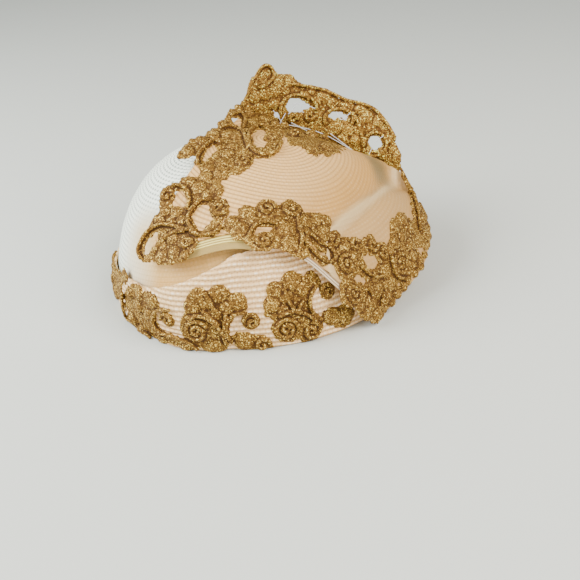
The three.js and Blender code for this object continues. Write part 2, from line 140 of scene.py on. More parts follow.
# The ribbons below the upper layer's near edge: the shares of the edge that they take, and their sizes
HEM = {"from": 0.12, "to": 0.385, "width": 9, "wall": 1.4}
STRIP = {"from": 0.56, "to": 0.71, "width": 2.8, "wall": 1.2}
EDGE_GAP = 0.6
HEM_TUCK = 0.32
EDGE_SLOPE_STEP = 0.04

# Where the braid's rows start on the upper layer and on the cap, and the radius that the wrap's rows have
SHELL_TIP = np.array([13.0, -12.0, 102.0])
CAP_TIP = np.array([-31.0, -9.0, 100.0])
WRAP_RADIUS = 112

# Tones on the upper layer, at so many millimetres to the right of the fold: painted shade along the crease, a
# painted highlight on the fold's edge and plain straw to the right; then the sheer tip, and the fold's own
# relief
CREASE_SHADE = {"at": -7, "spread": 13, "end": 5}
FOLD_HIGHLIGHT = {"at": 4, "spread": 4}
PLAIN = {"from": -62, "over": 64}
SHEER = {"at": np.array([89.0, 14.0, 65.0]), "squeeze": np.array([1.0, 0.55, 1.0]), "reach": 13}
RIDGE = {"at": 3, "spread": 2.2, "rise": 1.3, "fade": 24}
GROOVE = {"at": -1.5, "spread": 2.0}
# The cap is hidden below the top, right of the left and in front of the near side, each with its fade. There
# it is plain and gets warm painted shade.
CAP_HIDDEN = {"top": 78, "top_fade": 18, "left": -104, "left_fade": 34, "near": -30, "near_fade": 20}
CAP_PLAIN = 3
LIP_FADE = 3
WELD = 0.02

# How straw bulges in a row: where it is highest and how round it is
ROW_SKEW = 0.7
ROW_ROUNDNESS = 0.8
CAP_RELIEF_SHARE = 0.5
WRAP_RELIEF_SHARE = 1.4

# A braid's usual look: how far its rows waver, how softly they meet, their painted gleam and the painted
# shade on the plain part
BRAID = {"waver": 0.3, "soft": 0.42, "gleam": 0.15, "dim": 0.0}
# Colour of the painted highlights on the tops of the plaits
GLEAM_COLOUR = (1.0, 0.9, 0.74)
FOLD_HIGHLIGHT_COLOUR = (0.74, 0.6, 0.34)
SHEER_COLOUR = (0.17, 0.13, 0.06)
RIBBON_BUMP = 0.0004

# The grain of the straw and of the thread, in spots for each metre, and where the thread's tones are
BRAID_GRAIN = {"waver": 32.0, "wander": 55.0, "gleam": 420.0, "fray": 900.0}
RIBBON_GRAIN = 260.0
THREAD_GRAIN = {"drift": 60.0, "loops": 1050.0, "pits": 1250.0, "glints": 1500.0}
THREAD_STOPS = (0.2, 0.4, 0.6, 0.86)
NET_GRAIN = 400.0
FLOOR_GRAIN = 30.0

# Cells of the sheets, along and across
CAP_CELLS = (300, 110)
WRAP_CELLS = (480, 110)
SHELL_CELLS = (270, 170)
RIBBON_CELLS = (120, 24)
WRAP_CARRIER_CELLS = (240, 40)
SHELL_CARRIER_CELLS = (130, 90)
COLLAR_CARRIER_CELLS = (90, 40)

# The least cosine between a line of sight and a surface's square at which a place is slid along the sight
SLANT_LIMIT = 0.3
# How many times its width a filling mound may get on a surface that is seen flatly, standing or lying
STRETCH_LIMIT = 1.8
FILL_REACH = 5.0
# Below this cosine a motif stands up towards the eye, with how far it tilts and comes off the surface
STAND_BELOW = 0.5
STAND_TILT = 1.2
STAND_LOOSE = 2.0
# Where a line of sight that misses a surface is tried, and how far lace may overhang it, in millimetres
SIGHT_STEP = 2
SIGHT_RANGE = (220, 400)
OVERHANG = 16
FLOOR_GAP = 0.3

# The lace's build. Heights are in millimetres, a hollow's depth is in metres, and a batch counts points.
HOLLOW_DEPTH = 0.00016
BATCH = 1500
CORD_RISE = 2.5
CORD_STEPS = 8
NET = {"radius": 0.3, "rise": 4.4}
# A mound is the part of a ball above this share of its radius below the middle.
MOUND_FOOT = 0.3
MOUND_HEIGHT = 2.1
BEAN_HEIGHT = 2.2
BEAN_TURN = 20
# Cord and pitch are in cord radii, and the mound below the coil is a share of its size.
COIL = {"cord": 1.25, "pitch": 2.6, "rise": 1.7, "steps": 22, "end": 0.3, "mound": 0.9, "height": 1.1}
FAN = {"lobes": (-74, -38, 0, 38, 74), "reach": 0.6, "droop": 0.035, "height": 2.3, "rise": 1.9}
# The picture's angle of what points up in it
UPRIGHT = 90
# Millimetres on the hat for one pixel of the photograph
PIXEL = 0.7
FILL = {"step": 2.7, "inset": 1.7, "radius": 2.3, "height": 0.95}
# Painted light: the standing lace's thread colours are made lighter, and the crown lace's darker.
COLLAR_PAINTED_LIGHT = 1.35
CROWN_PAINTED_SHADE = 0.95
FAR_COARSE = 1.35

# The camera that took in the hat, in millimetres and degrees, and the picture that it makes
CAMERA = {"distance": 640, "height_angle": 28, "pan": 1.875, "tilt": -29.945, "roll": 4}
FOCAL_PIXELS = 830
PICTURE = 580
SENSOR = 36
CLIP_START = 0.01

# The stage, in metres
FLOOR_HALF = 4.0
LIGHT_AIM = (0, 0, 0.05)
LIGHTS = table(
    ("name", "place", "size", "colour"),
    ("key", (0.72, -0.55, 0.85), 0.7, (1.0, 0.93, 0.84)),
    ("low", (0.3, -1.2, 0.32), 0.8, (1.0, 0.95, 0.88)),
    ("window", (-1.0, -0.2, 0.8), 0.9, (0.95, 0.98, 0.96)),
)
SKY_COLOUR = (0.97, 1.0, 0.97, 1)


# Numbers and curves


def smooth_row(places, values, at):
    """A smooth way through values at given places: a slope is the mean of those beside it."""
    places = np.asarray(places, float)
    values = np.asarray(values, float)
    secants = np.diff(values) / np.diff(places)
    slopes = np.concatenate([[0], (secants[1:] + secants[:-1]) / 2, [0]])
    at = np.clip(at, places[0], places[-1])
    i = np.clip(np.searchsorted(places, at, side="right") - 1, 0, len(places) - 2)
    width = places[i + 1] - places[i]
    t = (at - places[i]) / width
    rise = values[i + 1] - values[i]
    start = width * slopes[i]
    end = width * slopes[i + 1]
    return values[i] + t * (start + t * (3 * rise - 2 * start - end + t * (start + end - 2 * rise)))


def table_row(rows, key, name, at, turn=0):
    """One named column of a table at the given places of its key column. A turn makes it repeat."""
    laps = (-turn, 0, turn) if turn else (0,)
    places = [row[key] + lap for lap in laps for row in rows]
    values = [row[name] for _ in laps for row in rows]
    return smooth_row(places, values, at)


def through(points, share, even):
    """A curve through points that are stacked along the first axis. An even one takes equal steps."""
    ends = (points[0], points[-1]) if even else (2 * points[0] - points[1], 2 * points[-1] - points[-2])
    rows = np.concatenate([ends[0][None], points, ends[1][None]])
    spans = len(points) - 1
    place = np.clip(share, 0, 1) * spans
    i = np.clip(np.floor(place).astype(int), 0, spans - 1)
    t = (place - i)[:, None]
    each = np.arange(len(share))
    a, b, c, d = (rows[i + k, each] for k in range(4))

    def step(one, two):
        return np.ones_like(t) if even else np.sqrt(np.linalg.norm(two - one, axis=1, keepdims=True))

    ab, bc, cd = step(a, b), step(b, c), step(c, d)
    start = bc * ((b - a) / ab - (c - a) / (ab + bc) + (c - b) / bc)
    end = bc * ((c - b) / bc - (d - b) / (bc + cd) + (d - c) / cd)
    rise = c - b
    place = b + t * (start + t * (3 * rise - 2 * start - end + t * (start + end - 2 * rise)))
    slope = start + t * (2 * (3 * rise - 2 * start - end) + 3 * t * (start + end - 2 * rise))
    return place, slope


def unit(vectors):
    return vectors / np.linalg.norm(vectors, axis=1, keepdims=True)


def square_to(surface, u, v):
    """The directions square to a surface, on the side that u cross v points to."""
    along_u = surface(u + SLOPE_STEP, v) - surface(u - SLOPE_STEP, v)
    along_v = surface(u, np.clip(v + SLOPE_STEP, 0, 1)) - surface(u, np.clip(v - SLOPE_STEP, 0, 1))
    return unit(np.cross(along_u, along_v))


# The hat's surfaces, in millimetres, as functions of u and v


def cap_radius(angle, grow=0.0):
    turned = angle - math.radians(CAP["long_axis"])
    return 1 / np.hypot(np.cos(turned) / (CAP["long"] + grow), np.sin(turned) / (CAP["short"] + grow))


def cap_point(u, v, grow=0.0):
    """The cap: u goes once round, and v goes from the rim to the top."""
    angle = 2 * math.pi * u
    reach = np.cos(v * math.pi / 2)
    height = (CAP["height"] + grow) * np.sin(v * math.pi / 2)
    low = np.clip(1 - height / CAP["tuck_height"], 0, 1)
    radius = cap_radius(angle, grow) * reach * (1 - CAP["tuck"] * low * low)
    return np.stack(
        [
            CAP_TOP_SHIFT[0] * (1 - reach) + radius * np.cos(angle),
            CAP_TOP_SHIFT[1] * (1 - reach) + radius * np.sin(angle),
            np.maximum(height, CAP_FOOT),
        ],
        axis=1,
    )


def outside_cap(points, grow):
    """How far points stand outside the grown cap, measured level."""
    share = np.clip(points[:, 2] / (CAP["height"] + grow), 0, 1)
    reach = np.sqrt(1 - share * share)
    x = points[:, 0] - CAP_TOP_SHIFT[0] * (1 - reach)
    y = points[:, 1] - CAP_TOP_SHIFT[1] * (1 - reach)
    return np.hypot(x, y) - cap_radius(np.arctan2(y, x), grow) * reach


def clear_of_cap(points, grow):
    """Moves points out of the cap, away from the middle, until they keep the margin."""
    low = np.ones(len(points))
    high = np.full(len(points), CLEAR_REACH)
    for _ in range(CLEAR_PASSES):
        middle = (low + high) / 2
        inside = outside_cap(points * middle[:, None], grow) < 0
        low = np.where(inside, middle, low)
        high = np.where(inside, high, middle)
    moves = outside_cap(points, grow) < 0
    return points * np.where(moves, high, 1.0)[:, None]


def wrap_point(u, v):
    """The wrap's outer face: u goes once round, and v goes from the rim over the fold to the lip."""
    angle = 360 * np.mod(u, 1)
    base, belly, fold, height, roll = (
        table_row(WRAP_SECTIONS, "angle", name, angle, 360)
        for name in ("base", "belly", "fold", "height", "roll")
    )
    knots = np.stack(
        [
            np.stack([base, 0 * base], axis=1),
            np.stack([belly, WRAP_BELLY_SHARE * height], axis=1),
            np.stack([fold, height - WRAP_FOLD_DROP * roll], axis=1),
            np.stack([fold - roll, height - WRAP_LIP_DROP * (roll - WRAP_LEVEL_ROLL)], axis=1),
        ]
    )
    at, _ = through(knots, v, even=True)
    away = (angle - PLEATS["angle"]) / PLEATS["spread"]
    pleat = PLEATS["depth"] * np.exp(-away * away) * np.sin(math.pi * PLEATS["count"] * v)
    radius = at[:, 0] + pleat
    turn = np.radians(angle)
    height = np.maximum(at[:, 1], WRAP_FOOT)
    points = np.stack([radius * np.cos(turn), radius * np.sin(turn), height], axis=1)
    return clear_of_cap(points, LAYER_GAP + STRAW_WALL)


def path_points(points, count, even):
    """Points along a smooth way through a row of flat points."""
    knots = np.array(points, float)[:, None, :]
    shares = np.linspace(0, 1, count)
    return np.concatenate([through(knots, np.array([share]), even)[0] for share in shares])


CREASE_PATH = path_points(CREASE_LINE, LINE_STEPS, even=True)
FOLD_PATH = path_points(FOLD_LINE, LINE_STEPS, even=True)


def right_of_fold(points):
    """How far points are to the right of the line where the straw folds, seen from above."""
    order = np.argsort(FOLD_PATH[:, 1])
    return points[:, 0] - np.interp(points[:, 1], FOLD_PATH[order, 1], FOLD_PATH[order, 0])


def hump(past, shape):
    """1 at its middle, fading to 0 on both sides."""
    return np.exp(-(((past - shape["at"]) / shape["spread"]) ** 2))


def crease_away(points):
    """How far points are from the crease, seen from above."""
    gaps = points[:, None, :2] - CREASE_PATH[None, :, :]
    return np.sqrt((gaps**2).sum(axis=2).min(axis=1))


def shell_point(u, v):
    """The upper layer: u goes from its left edge to its right, v from its near edge to its far one."""
    places = np.linspace(0, 1, len(SHELL_SECTIONS))

    def knot(name):
        columns = zip(*(row[name] for row in SHELL_SECTIONS))
        return np.stack([smooth_row(places, column, u) for column in columns], axis=1)

    knots = np.stack([knot(name) for name in ("near", "shoulder", "top", "far")])
    points, _ = through(knots, v, even=False)
    points[:, 2] -= CREASE["depth"] * np.exp(-((crease_away(points) / CREASE["half_width"]) ** 2))
    return clear_of_cap(points, LAYER_GAP + SHELL_LIFT + STRAW_WALL)


def collar_point(u, v):
    """The standing lace behind the upper layer's far edge, with v upwards."""
    edge = shell_point(np.clip(u, 0, 1), np.ones_like(u))
    rise = table_row(COLLAR_SECTIONS, "along", "rise", u)
    lean = table_row(COLLAR_SECTIONS, "along", "lean", u)
    return edge + np.stack([COLLAR_SLIDE * v * (1 - u), COLLAR_GAP + lean * v * v, rise * v], axis=1)


def below_edge(part):
    """A strip below the upper layer's near edge, tucked in under it, from its lower edge upwards."""

    def surface(u, v):
        share = part["from"] + (part["to"] - part["from"]) * u
        edge = shell_point(share, 0 * share)
        outwards = square_to(shell_point, share, 0 * share)
        down = unit(edge - shell_point(share, 0 * share + EDGE_SLOPE_STEP))
        drop = (EDGE_GAP + part["width"] * (1 - v))[:, None]
        return edge + down * drop - outwards * HEM_TUCK * drop

    return surface


# Meshes


def in_scene(points):
    """Points in millimetres about the rim's middle, as places in the scene."""
    return (points + np.array([HAT_SHIFT, 0, 0])) * MM


def link(name, data):
    """A new object in the scene."""
    made = bpy.data.objects.new(name, data)
    bpy.context.scene.collection.objects.link(made)
    return made


def new_piece(name, mesh, nodes, finish, wall=0):
    """A piece of the hat that rides on its body and stands for solids of the model. A wall goes inwards."""
    piece = link(name, mesh)
    mesh.materials.clear()
    mesh.materials.append(finish)
    mesh.polygons.foreach_set("use_smooth", [True] * len(mesh.polygons))
    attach(piece, "root")
    if nodes:
        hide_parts(*nodes)
    if wall:
        change = piece.modifiers.new("wall", "SOLIDIFY")
        change.thickness = wall
        change.offset = -1
        change.use_even_offset = False
        change.use_rim = True


def grid(cells_u, cells_v):
    """A flat grid that runs from 0 to 1 both ways."""
    sheet = bmesh.new()
    bmesh.ops.create_grid(sheet, x_segments=cells_u, y_segments=cells_v, size=0.5)
    bmesh.ops.translate(sheet, vec=(0.5, 0.5, 0), verts=sheet.verts)
    return sheet


def carrier(surface, cells):
    """A surface that other pieces are laid on."""
    sheet = grid(*cells)
    flat = np.array([vert.co[:2] for vert in sheet.verts])
    places = in_scene(surface(flat[:, 0], flat[:, 1]))
    for vert, place in zip(sheet.verts, places):
        vert.co = place
    sheet.normal_update()
    tree = BVHTree.FromBMesh(sheet)
    sheet.free()
    return tree


def straw_mesh(name, surface, cells, rows, relief, tones=None, fold=None, ring=False):
    """A sheet of sewn braid. rows gives each point's angle and its row, which is kept in a UV map."""
    sheet = grid(*cells)
    flat = np.array([vert.co[:2] for vert in sheet.verts])
    u, v = flat[:, 0], flat[:, 1]
    points = surface(u, v)
    angle, row = rows(points, u, v)
    shades = tones(points) if tones else {}
    rise = row_relief(row, relief) * (1 - shades.get("plain", 0)) + (fold(points) if fold else 0)
    points = points + square_to(surface, u, v) * np.reshape(rise, (-1, 1))
    places = in_scene(points)
    places[:, 2] = np.maximum(places[:, 2], 0)
    for vert, place in zip(sheet.verts, places):
        vert.co = place
    layer = sheet.loops.layers.uv.new("rows")
    sheet.verts.index_update()
    for face in sheet.faces:
        angles = [angle[vert.index] for vert in face.verts]
        wraps = max(angles) - min(angles) > math.pi
        for loop in face.loops:
            here = angle[loop.vert.index]
            loop[layer].uv = (here + 2 * math.pi if wraps and here < 0 else here, row[loop.vert.index])
    for key, values in shades.items():
        shade = sheet.verts.layers.float.new(key)
        for vert, value in zip(sheet.verts, values):
            vert[shade] = value
    if ring:
        bmesh.ops.remove_doubles(sheet, verts=sheet.verts, dist=WELD * MM)
    mesh = bpy.data.meshes.new(name)
    sheet.to_mesh(mesh)
    sheet.free()
    return mesh


def climbed(surface, u, v, steps=12):
    """How far it is along a surface from v = 0 up to v."""
    way = np.zeros(len(u))
    last = surface(u, 0 * v)
    for k in range(1, steps + 1):
        here = surface(u, v * k / steps)
        way += np.linalg.norm(here - last, axis=1)
        last = here
    return way


def row_relief(row, depth):
    """Each row of braid bulges over the next one."""
    share = np.mod(row, 1)
    return depth * np.sin(math.pi * share**ROW_SKEW) ** ROW_ROUNDNESS


# Materials


class Wire:
    """A number on a material's sheet. An expression on wires adds the Math nodes that it needs."""

    def __init__(self, finish, socket):
        self.finish = finish
        self.socket = socket

    def math(self, operation, *values):
        return self.finish.node("ShaderNodeMath", {"operation": operation}, dict(enumerate(values)))

    def __add__(self, other):
        return self.math("ADD", self, other)

    def __radd__(self, other):
        return self.math("ADD", other, self)

    def __sub__(self, other):
        return self.math("SUBTRACT", self, other)

    def __rsub__(self, other):
        return self.math("SUBTRACT", other, self)

    def __mul__(self, other):
        return self.math("MULTIPLY", self, other)

    def __rmul__(self, other):
        return self.math("MULTIPLY", other, self)

    def __mod__(self, other):
        return self.math("FLOORED_MODULO", self, other)

    def floor(self):
        return self.math("FLOOR", self)

    def fraction(self):
        return self.math("FRACT", self)

    def sine(self):
        return self.math("SINE", self)

    def size(self):
        return self.math("ABSOLUTE", self)

    def ramp(self, low, high):
        """0 below low and 1 above high, with a smooth rise between."""
        return self.finish.node(
            "ShaderNodeMapRange",
            {"interpolation_type": "SMOOTHSTEP"},
            {"Value": self, "From Min": low, "From Max": high},
        )


class Finish:
    """A material with one Principled shader, made node by node."""

    def __init__(self, name):
        self.material = bpy.data.materials.new(name)
        self.material.use_nodes = True
        self.nodes = self.material.node_tree.nodes
        self.links = self.material.node_tree.links
        self.shader = self.nodes["Principled BSDF"]

    def node(self, kind, settings=None, sockets=None, output=0):
        """Adds a node, sets it, fills or links its sockets and gives its output as a wire."""
        made = self.nodes.new(kind)
        for name, value in (settings or {}).items():
            if name == "stops":
                self.set_stops(made.color_ramp, value)
            else:
                setattr(made, name, value)
        for name, value in (sockets or {}).items():
            self.fill(made.inputs[name], value)
        return Wire(self, made.outputs[output])

    def set_stops(self, ramp, stops):
        while len(ramp.elements) < len(stops):
            ramp.elements.new(0.5)
        for element, (place, colour) in zip(ramp.elements, stops):
            element.position = place
            element.color = (*colour, 1)

    def fill(self, socket, value):
        if isinstance(value, Wire):
            self.links.new(value.socket, socket)
        else:
            socket.default_value = value

    def blend(self, factor, first, second, mode="MIX"):
        """One colour over another."""
        colours = [(*c, 1) if isinstance(c, (tuple, list)) else c for c in (first, second)]
        return self.node(
            "ShaderNodeMix",
            {"data_type": "RGBA", "blend_type": mode},
            {"Factor": factor, 6: colours[0], 7: colours[1]},
            output=2,
        )

    def attribute(self, name):
        return self.node("ShaderNodeAttribute", {"attribute_name": name}, output=2)

    def place(self):
        return self.node("ShaderNodeTexCoord", output=3)

    def speckle(self, scale, detail=2.0, rough=0.5, curl=0.0):
        """Soft noise, 0 to 1, at so many spots in a metre."""
        sockets = {"Scale": scale, "Detail": detail, "Roughness": rough, "Distortion": curl}
        return self.node("ShaderNodeTexNoise", sockets={"Vector": self.place()} | sockets)

    def cells(self, scale):
        """Small cells with a number of their own, 0 to 1."""
        sockets = {"Vector": self.place(), "Scale": scale}
        colour = self.node("ShaderNodeTexVoronoi", sockets=sockets, output=1)
        return self.node("ShaderNodeSeparateColor", sockets={"Color": colour})

    def surface(self, **values):
        """Sets the shader's sockets: colour, roughness, metallic and so on."""
        for name, value in values.items():
            self.fill(self.shader.inputs[name.replace("_", " ").title().replace("Ior", "IOR")], value)

    def rows(self, output):
        """How far round (0) or across the rows (1) a point of the straw is, from its UV map."""
        uv = self.node("ShaderNodeUVMap", {"uv_map": "rows"})
        return self.node("ShaderNodeSeparateXYZ", sockets={"Vector": uv}, output=output)

    def bumps(self, height, depth):
        """Fine relief, from a height of 0 to 1 and its depth in metres."""
        normal = self.node("ShaderNodeBump", sockets={"Strength": 1.0, "Distance": depth, "Height": height})
        self.fill(self.shader.inputs["Normal"], normal)


def braid_finish(name, look, straw, ring_rows=0):
    """Rows of straw braid. ring_rows is the radius of a plain ring in rows, or 0 for rows about a tip.

    look holds the pale and deep colours and the warm tint of painted shade, how much the rows, the dots
    between the plaits and the shine on them show, and what differs from the usual look. The shine is partly a
    painted highlight and partly lower roughness.
    """
    look = BRAID | look
    finish = Finish(name)
    plain = finish.attribute("plain")
    across = finish.rows(1) + (finish.speckle(BRAID_GRAIN["waver"]) - 0.5) * look["waver"]
    row = across.floor()
    along = finish.rows(0) * (ring_rows or row + 0.5)
    bulge = (across.fraction() - 0.5).size() * -2.0 + 1.0
    plait = (along * look["plaits"] + (row % 2.0) * 0.5).fraction()
    lump = (plait - 0.5).size() * -2.0 + 1.0
    groove = bulge.ramp(0.0, look["soft"])
    body = lump.ramp(0.0, 0.6)
    wander = finish.speckle(BRAID_GRAIN["wander"], 3.0)
    fray = finish.speckle(BRAID_GRAIN["fray"])
    dark = (1.0 - groove) * look["line"] + (1.0 - body) * (1.0 - bulge.ramp(0.15, 0.8)) * look["dots"]
    dark = dark * (0.7 + 0.6 * fray) * (1.0 - plain * 0.85)
    row_tone = finish.node("ShaderNodeTexWhiteNoise", {"noise_dimensions": "1D"}, {"W": row})
    colour = finish.blend(dark, look["pale"], look["deep"])
    # Painted shade: a warm tint darkens the straw along the crease and where the layers overhang the cap.
    colour = finish.blend(finish.attribute("tone"), colour, look["aged"], "MULTIPLY")
    # Painted highlights on the tops of the plaits, in spots.
    glitter = finish.speckle(BRAID_GRAIN["gleam"]).ramp(0.42, 0.62)
    gleam = body.ramp(0.3, 1.0) * bulge.ramp(0.45, 1.0) * glitter
    colour = finish.blend(gleam * look["gleam"], colour, GLEAM_COLOUR)
    # The shine lightens the plaits' tops as a painted highlight, and below it also lowers their roughness.
    shine = look["shine"] * body * bulge.ramp(0.3, 0.9) * (fray - 0.35)
    shade = 0.95 + 0.04 * row_tone + 0.05 * wander + shine
    # Painted shade darkens the plain part, with a random grain.
    shade = shade - plain * (look["dim"] + 0.16 * (fray - 0.5))
    colour = finish.node("ShaderNodeVectorMath", {"operation": "SCALE"}, {0: colour, "Scale": shade})
    # Painted highlight along the fold's edge.
    colour = finish.blend(finish.attribute("bright") * 0.4, colour, FOLD_HIGHLIGHT_COLOUR)
    colour = finish.blend(finish.attribute("sheer") * 0.85, colour, SHEER_COLOUR)
    finish.surface(base_color=colour, roughness=0.62 - look["shine"] * body * groove, ior=1.45)
    finish.bumps(groove * (0.6 + body * 0.4) * (1.0 - plain * 0.8), straw.bump)
    return finish.material


def ribbon_finish(name, look):
    """A straw ribbon, ribbed along its length above a flat strip."""
    finish = Finish(name)
    across = finish.rows(1)
    ribs = look["ribs"]
    rib = ((across * (ribs * 2 * math.pi)).sine() * 0.5 + 0.5).ramp(0.15, 0.75)
    fleck = finish.speckle(RIBBON_GRAIN)
    grain = (across * (ribs * 12 * math.pi) + fleck * 3.0).sine() * 0.5 + 0.5
    colour = finish.blend(rib * 0.7 + grain * 0.2 + fleck * 0.1, look["deep"], look["pale"])
    ribbed = across.ramp(look["flat"] - 0.02, look["flat"] + 0.02)
    flat = finish.blend(grain * 0.3 + fleck * 0.2, look["plain"], look["deep"])
    colour = finish.blend(ribbed, flat, colour)
    finish.surface(base_color=colour, roughness=0.5 - 0.15 * rib, specular_ior_level=0.15)
    finish.bumps(ribbed * (rib * 0.8 + 0.4) + grain * 0.15, RIBBON_BUMP)
    return finish.material


def lace_finish(name, lace, light):
    """Gold thread: dark between the loops, olive gold on them, with painted glints and painted shade in its
    hollows; light scales its colours as painted light.
    """
    finish = Finish(name)
    loops = finish.speckle(THREAD_GRAIN["loops"], 3.0, 0.65, 1.6)
    glints = finish.cells(THREAD_GRAIN["glints"])
    pits = finish.cells(THREAD_GRAIN["pits"])
    drift = finish.speckle(THREAD_GRAIN["drift"])
    # The glint spots are painted highlights; the pits are dark spots of the thread.
    spots = glints.ramp(0.8, 0.95) * 0.32 - pits.ramp(0.74, 0.95) * 0.28
    level = loops * 1.7 - 0.47 + spots + (glints - 0.5) * 0.16 + drift * 0.16
    # Painted shade: the thread is darker in the hollows of the lace.
    level = level - finish.attribute("hollow") * 0.75
    tones = zip(THREAD_STOPS, (lace.pit, lace.shade, lace.thread, lace.glint))
    # light scales one piece's thread colours, as painted light above 1 and painted shade below 1.
    stops = [(place, tuple(min(c * light, 1) for c in tone)) for place, tone in tones]
    colour = finish.node("ShaderNodeValToRGB", {"stops": stops}, {"Fac": level})
    finish.surface(base_color=colour, metallic=level.ramp(0.35, 0.8) * 0.3 + 0.05)
    finish.surface(roughness=0.65 - 0.3 * glints.ramp(0.8, 0.95), specular_ior_level=0.2)
    finish.bumps(loops * 0.6 + glints * 0.4, lace.fuzz)
    return finish.material


# The lace


class Seat:
    """A place on a surface where flat lace is laid, with its own directions across and upwards."""

    def __init__(self, tree, middle, square, upward, stretch=1.0, stand=0.0):
        self.tree = tree
        self.middle = middle
        self.square = square
        self.stretch = stretch
        self.stand = stand
        self.upward = (upward - square * upward.dot(square)).normalized()
        self.across = self.upward.cross(square).normalized()

    def lay(self, x, y, z):
        """The place in the scene of a point of the flat lace, z above the surface and over the floor."""
        aim = self.middle + self.across * x + self.upward * y
        place, square, _, _ = self.tree.find_nearest(aim)
        off = aim - place
        laid = place + off - square * off.dot(square) + square * z
        place = laid.lerp(aim + self.square * (z * (1 + self.stand)), self.stand)
        place.z = max(place.z, FLOOR_GAP * MM)
        return place


class Sight:
    """The photograph's view: the line of sight through each of its pixels."""

    def __init__(self):
        angle = math.radians(CAMERA["height_angle"])
        away = Vector((0, -math.cos(angle), math.sin(angle))) * CAMERA["distance"]
        self.eye = (away + Vector((HAT_SHIFT, 0, 0))) * MM
        pan, tilt, roll = (math.radians(CAMERA[name]) for name in ("pan", "tilt", "roll"))
        level = math.cos(tilt)
        self.ahead = Vector((math.sin(pan) * level, math.cos(pan) * level, math.sin(tilt)))
        right = self.ahead.cross(Vector((0, 0, 1))).normalized()
        up = right.cross(self.ahead)
        self.right = right * math.cos(roll) - up * math.sin(roll)
        self.up = up * math.cos(roll) + right * math.sin(roll)

    def matrix(self):
        turn = Matrix((self.right, self.up, -self.ahead)).transposed()
        return Matrix.Translation(self.eye) @ turn.to_4x4()

    def way(self, px, py):
        half = PICTURE / 2
        return (self.ahead * FOCAL_PIXELS + self.right * (px - half) - self.up * (py - half)).normalized()

    def seat(self, tree, px, py, turn, lying=False):
        """The seat that a pixel shows, with turn the picture's angle of its upward direction.

        Where the surface is seen flatly, what sits on it stands up towards the eye, unless it is lying.
        """
        way = self.way(px, py)
        middle, square, _, _ = tree.ray_cast(self.eye, way)
        if middle is None or square.dot(way) > 0:
            middle, square = self.beside(tree, way)
        angle = math.radians(turn)
        upward = self.right * math.cos(angle) + self.up * math.sin(angle)
        facing = -way.dot(square)
        stands = facing > -SLANT_LIMIT and not lying
        stand = min(max((STAND_BELOW - facing) / STAND_BELOW, 0), 1) if stands else 0
        square = (square - way * (stand * STAND_TILT)).normalized()
        slant = way.dot(square)
        if abs(slant) > SLANT_LIMIT:
            upward = upward - way * (upward.dot(square) / slant)
        stretch = min(1 / max(abs(way.dot(square)), 1 / FILL_REACH), FILL_REACH)
        return Seat(tree, middle, square, upward, stretch, min(STAND_LOOSE * stand, 1))

    def beside(self, tree, way):
        """Where a line of sight that misses a surface passes it by, in the surface's own plane."""
        tries = [self.eye + way * (step * SIGHT_STEP * MM) for step in range(*SIGHT_RANGE)]
        found = [tree.find_nearest(point) for point in tries]
        facing = [one for one in found if one[1].dot(way) < 0] or found
        place, square, _, _ = min(facing, key=lambda one: one[3])
        slant = way.dot(square)
        if abs(slant) > SLANT_LIMIT:
            meets = self.eye + way * ((place - self.eye).dot(square) / slant)
            if (meets - place).length < OVERHANG * MM:
                return meets, square
        return place, square


class LaceBand:
    """One band of lace: flat cords and pads that are laid on a surface and fused."""

    def __init__(self, lace):
        self.lace = lace
        self.pads = bmesh.new()
        self.batches = []
        self.cords = bpy.data.curves.new("cords", "CURVE")
        self.cords.dimensions = "3D"
        self.cords.bevel_resolution = 1
        self.cords.bevel_depth = 1.0
        self.cords.use_fill_caps = True

    def pad(self, seat, x, y, long, wide, turn=0.0, height=MOUND_HEIGHT, facets=3):
        """A flattened mound, long one way and wide the other, in millimetres."""
        if len(self.pads.verts) > BATCH:
            self.batches.append(bpy.data.meshes.new("batch"))
            self.pads.to_mesh(self.batches[-1])
            self.pads.clear()
        ball = bmesh.ops.create_icosphere(self.pads, subdivisions=facets, radius=1.0)
        c, s = math.cos(math.radians(turn)), math.sin(math.radians(turn))
        for vert in ball["verts"]:
            a, b = vert.co.x * long, vert.co.y * wide
            level = max(vert.co.z, -MOUND_FOOT) * height + MOUND_FOOT * height
            vert.co = seat.lay((x + a * c - b * s) * MM, (y + a * s + b * c) * MM, level * MM)

    def cord(self, seat, points, radius, rise):
        """A round cord along flat points, in millimetres."""
        self.thread([seat.lay(x * MM, y * MM, rise * MM) for x, y in points], radius)

    def thread(self, places, radius):
        spline = self.cords.splines.new("POLY")
        spline.points.add(len(places) - 1)
        for point, place in zip(spline.points, places):
            point.co = (place.x, place.y, max(place.z, radius * MM), 1)
            point.radius = radius * MM

    def fuse(self, name, voxel):
        """The cords and pads as one body, with its loops of thread and painted shade kept for the hollows
        between them.
        """
        for mesh in (*self.batches, applied(name + "_cords", self.cords)):
            self.pads.from_mesh(mesh)
            bpy.data.meshes.remove(mesh)
        rough = bpy.data.meshes.new(name)
        self.pads.to_mesh(rough)
        self.pads.free()
        fused = applied(name, rough, voxel)
        mark_hollow_shade(fused)
        return fused

    def piece(self, name, node, slot="metallic_lace", coarse=1.0, light=1.0):
        """Fuses the band and puts it in the scene."""
        mesh = self.fuse(name, self.lace.voxel * coarse)
        new_piece(name, mesh, [node], lace_finish(name, self.lace, light))


def applied(name, data, voxel=0):
    """The mesh of cords or of a mesh, fused where the facets have a size."""
    holder = link(name, data)
    if voxel:
        change = holder.modifiers.new("fuse", "REMESH")
        change.mode = "VOXEL"
        change.voxel_size = voxel
    bpy.context.view_layer.update()
    mesh = bpy.data.meshes.new_from_object(holder.evaluated_get(bpy.context.evaluated_depsgraph_get()))
    bpy.data.objects.remove(holder)
    return mesh


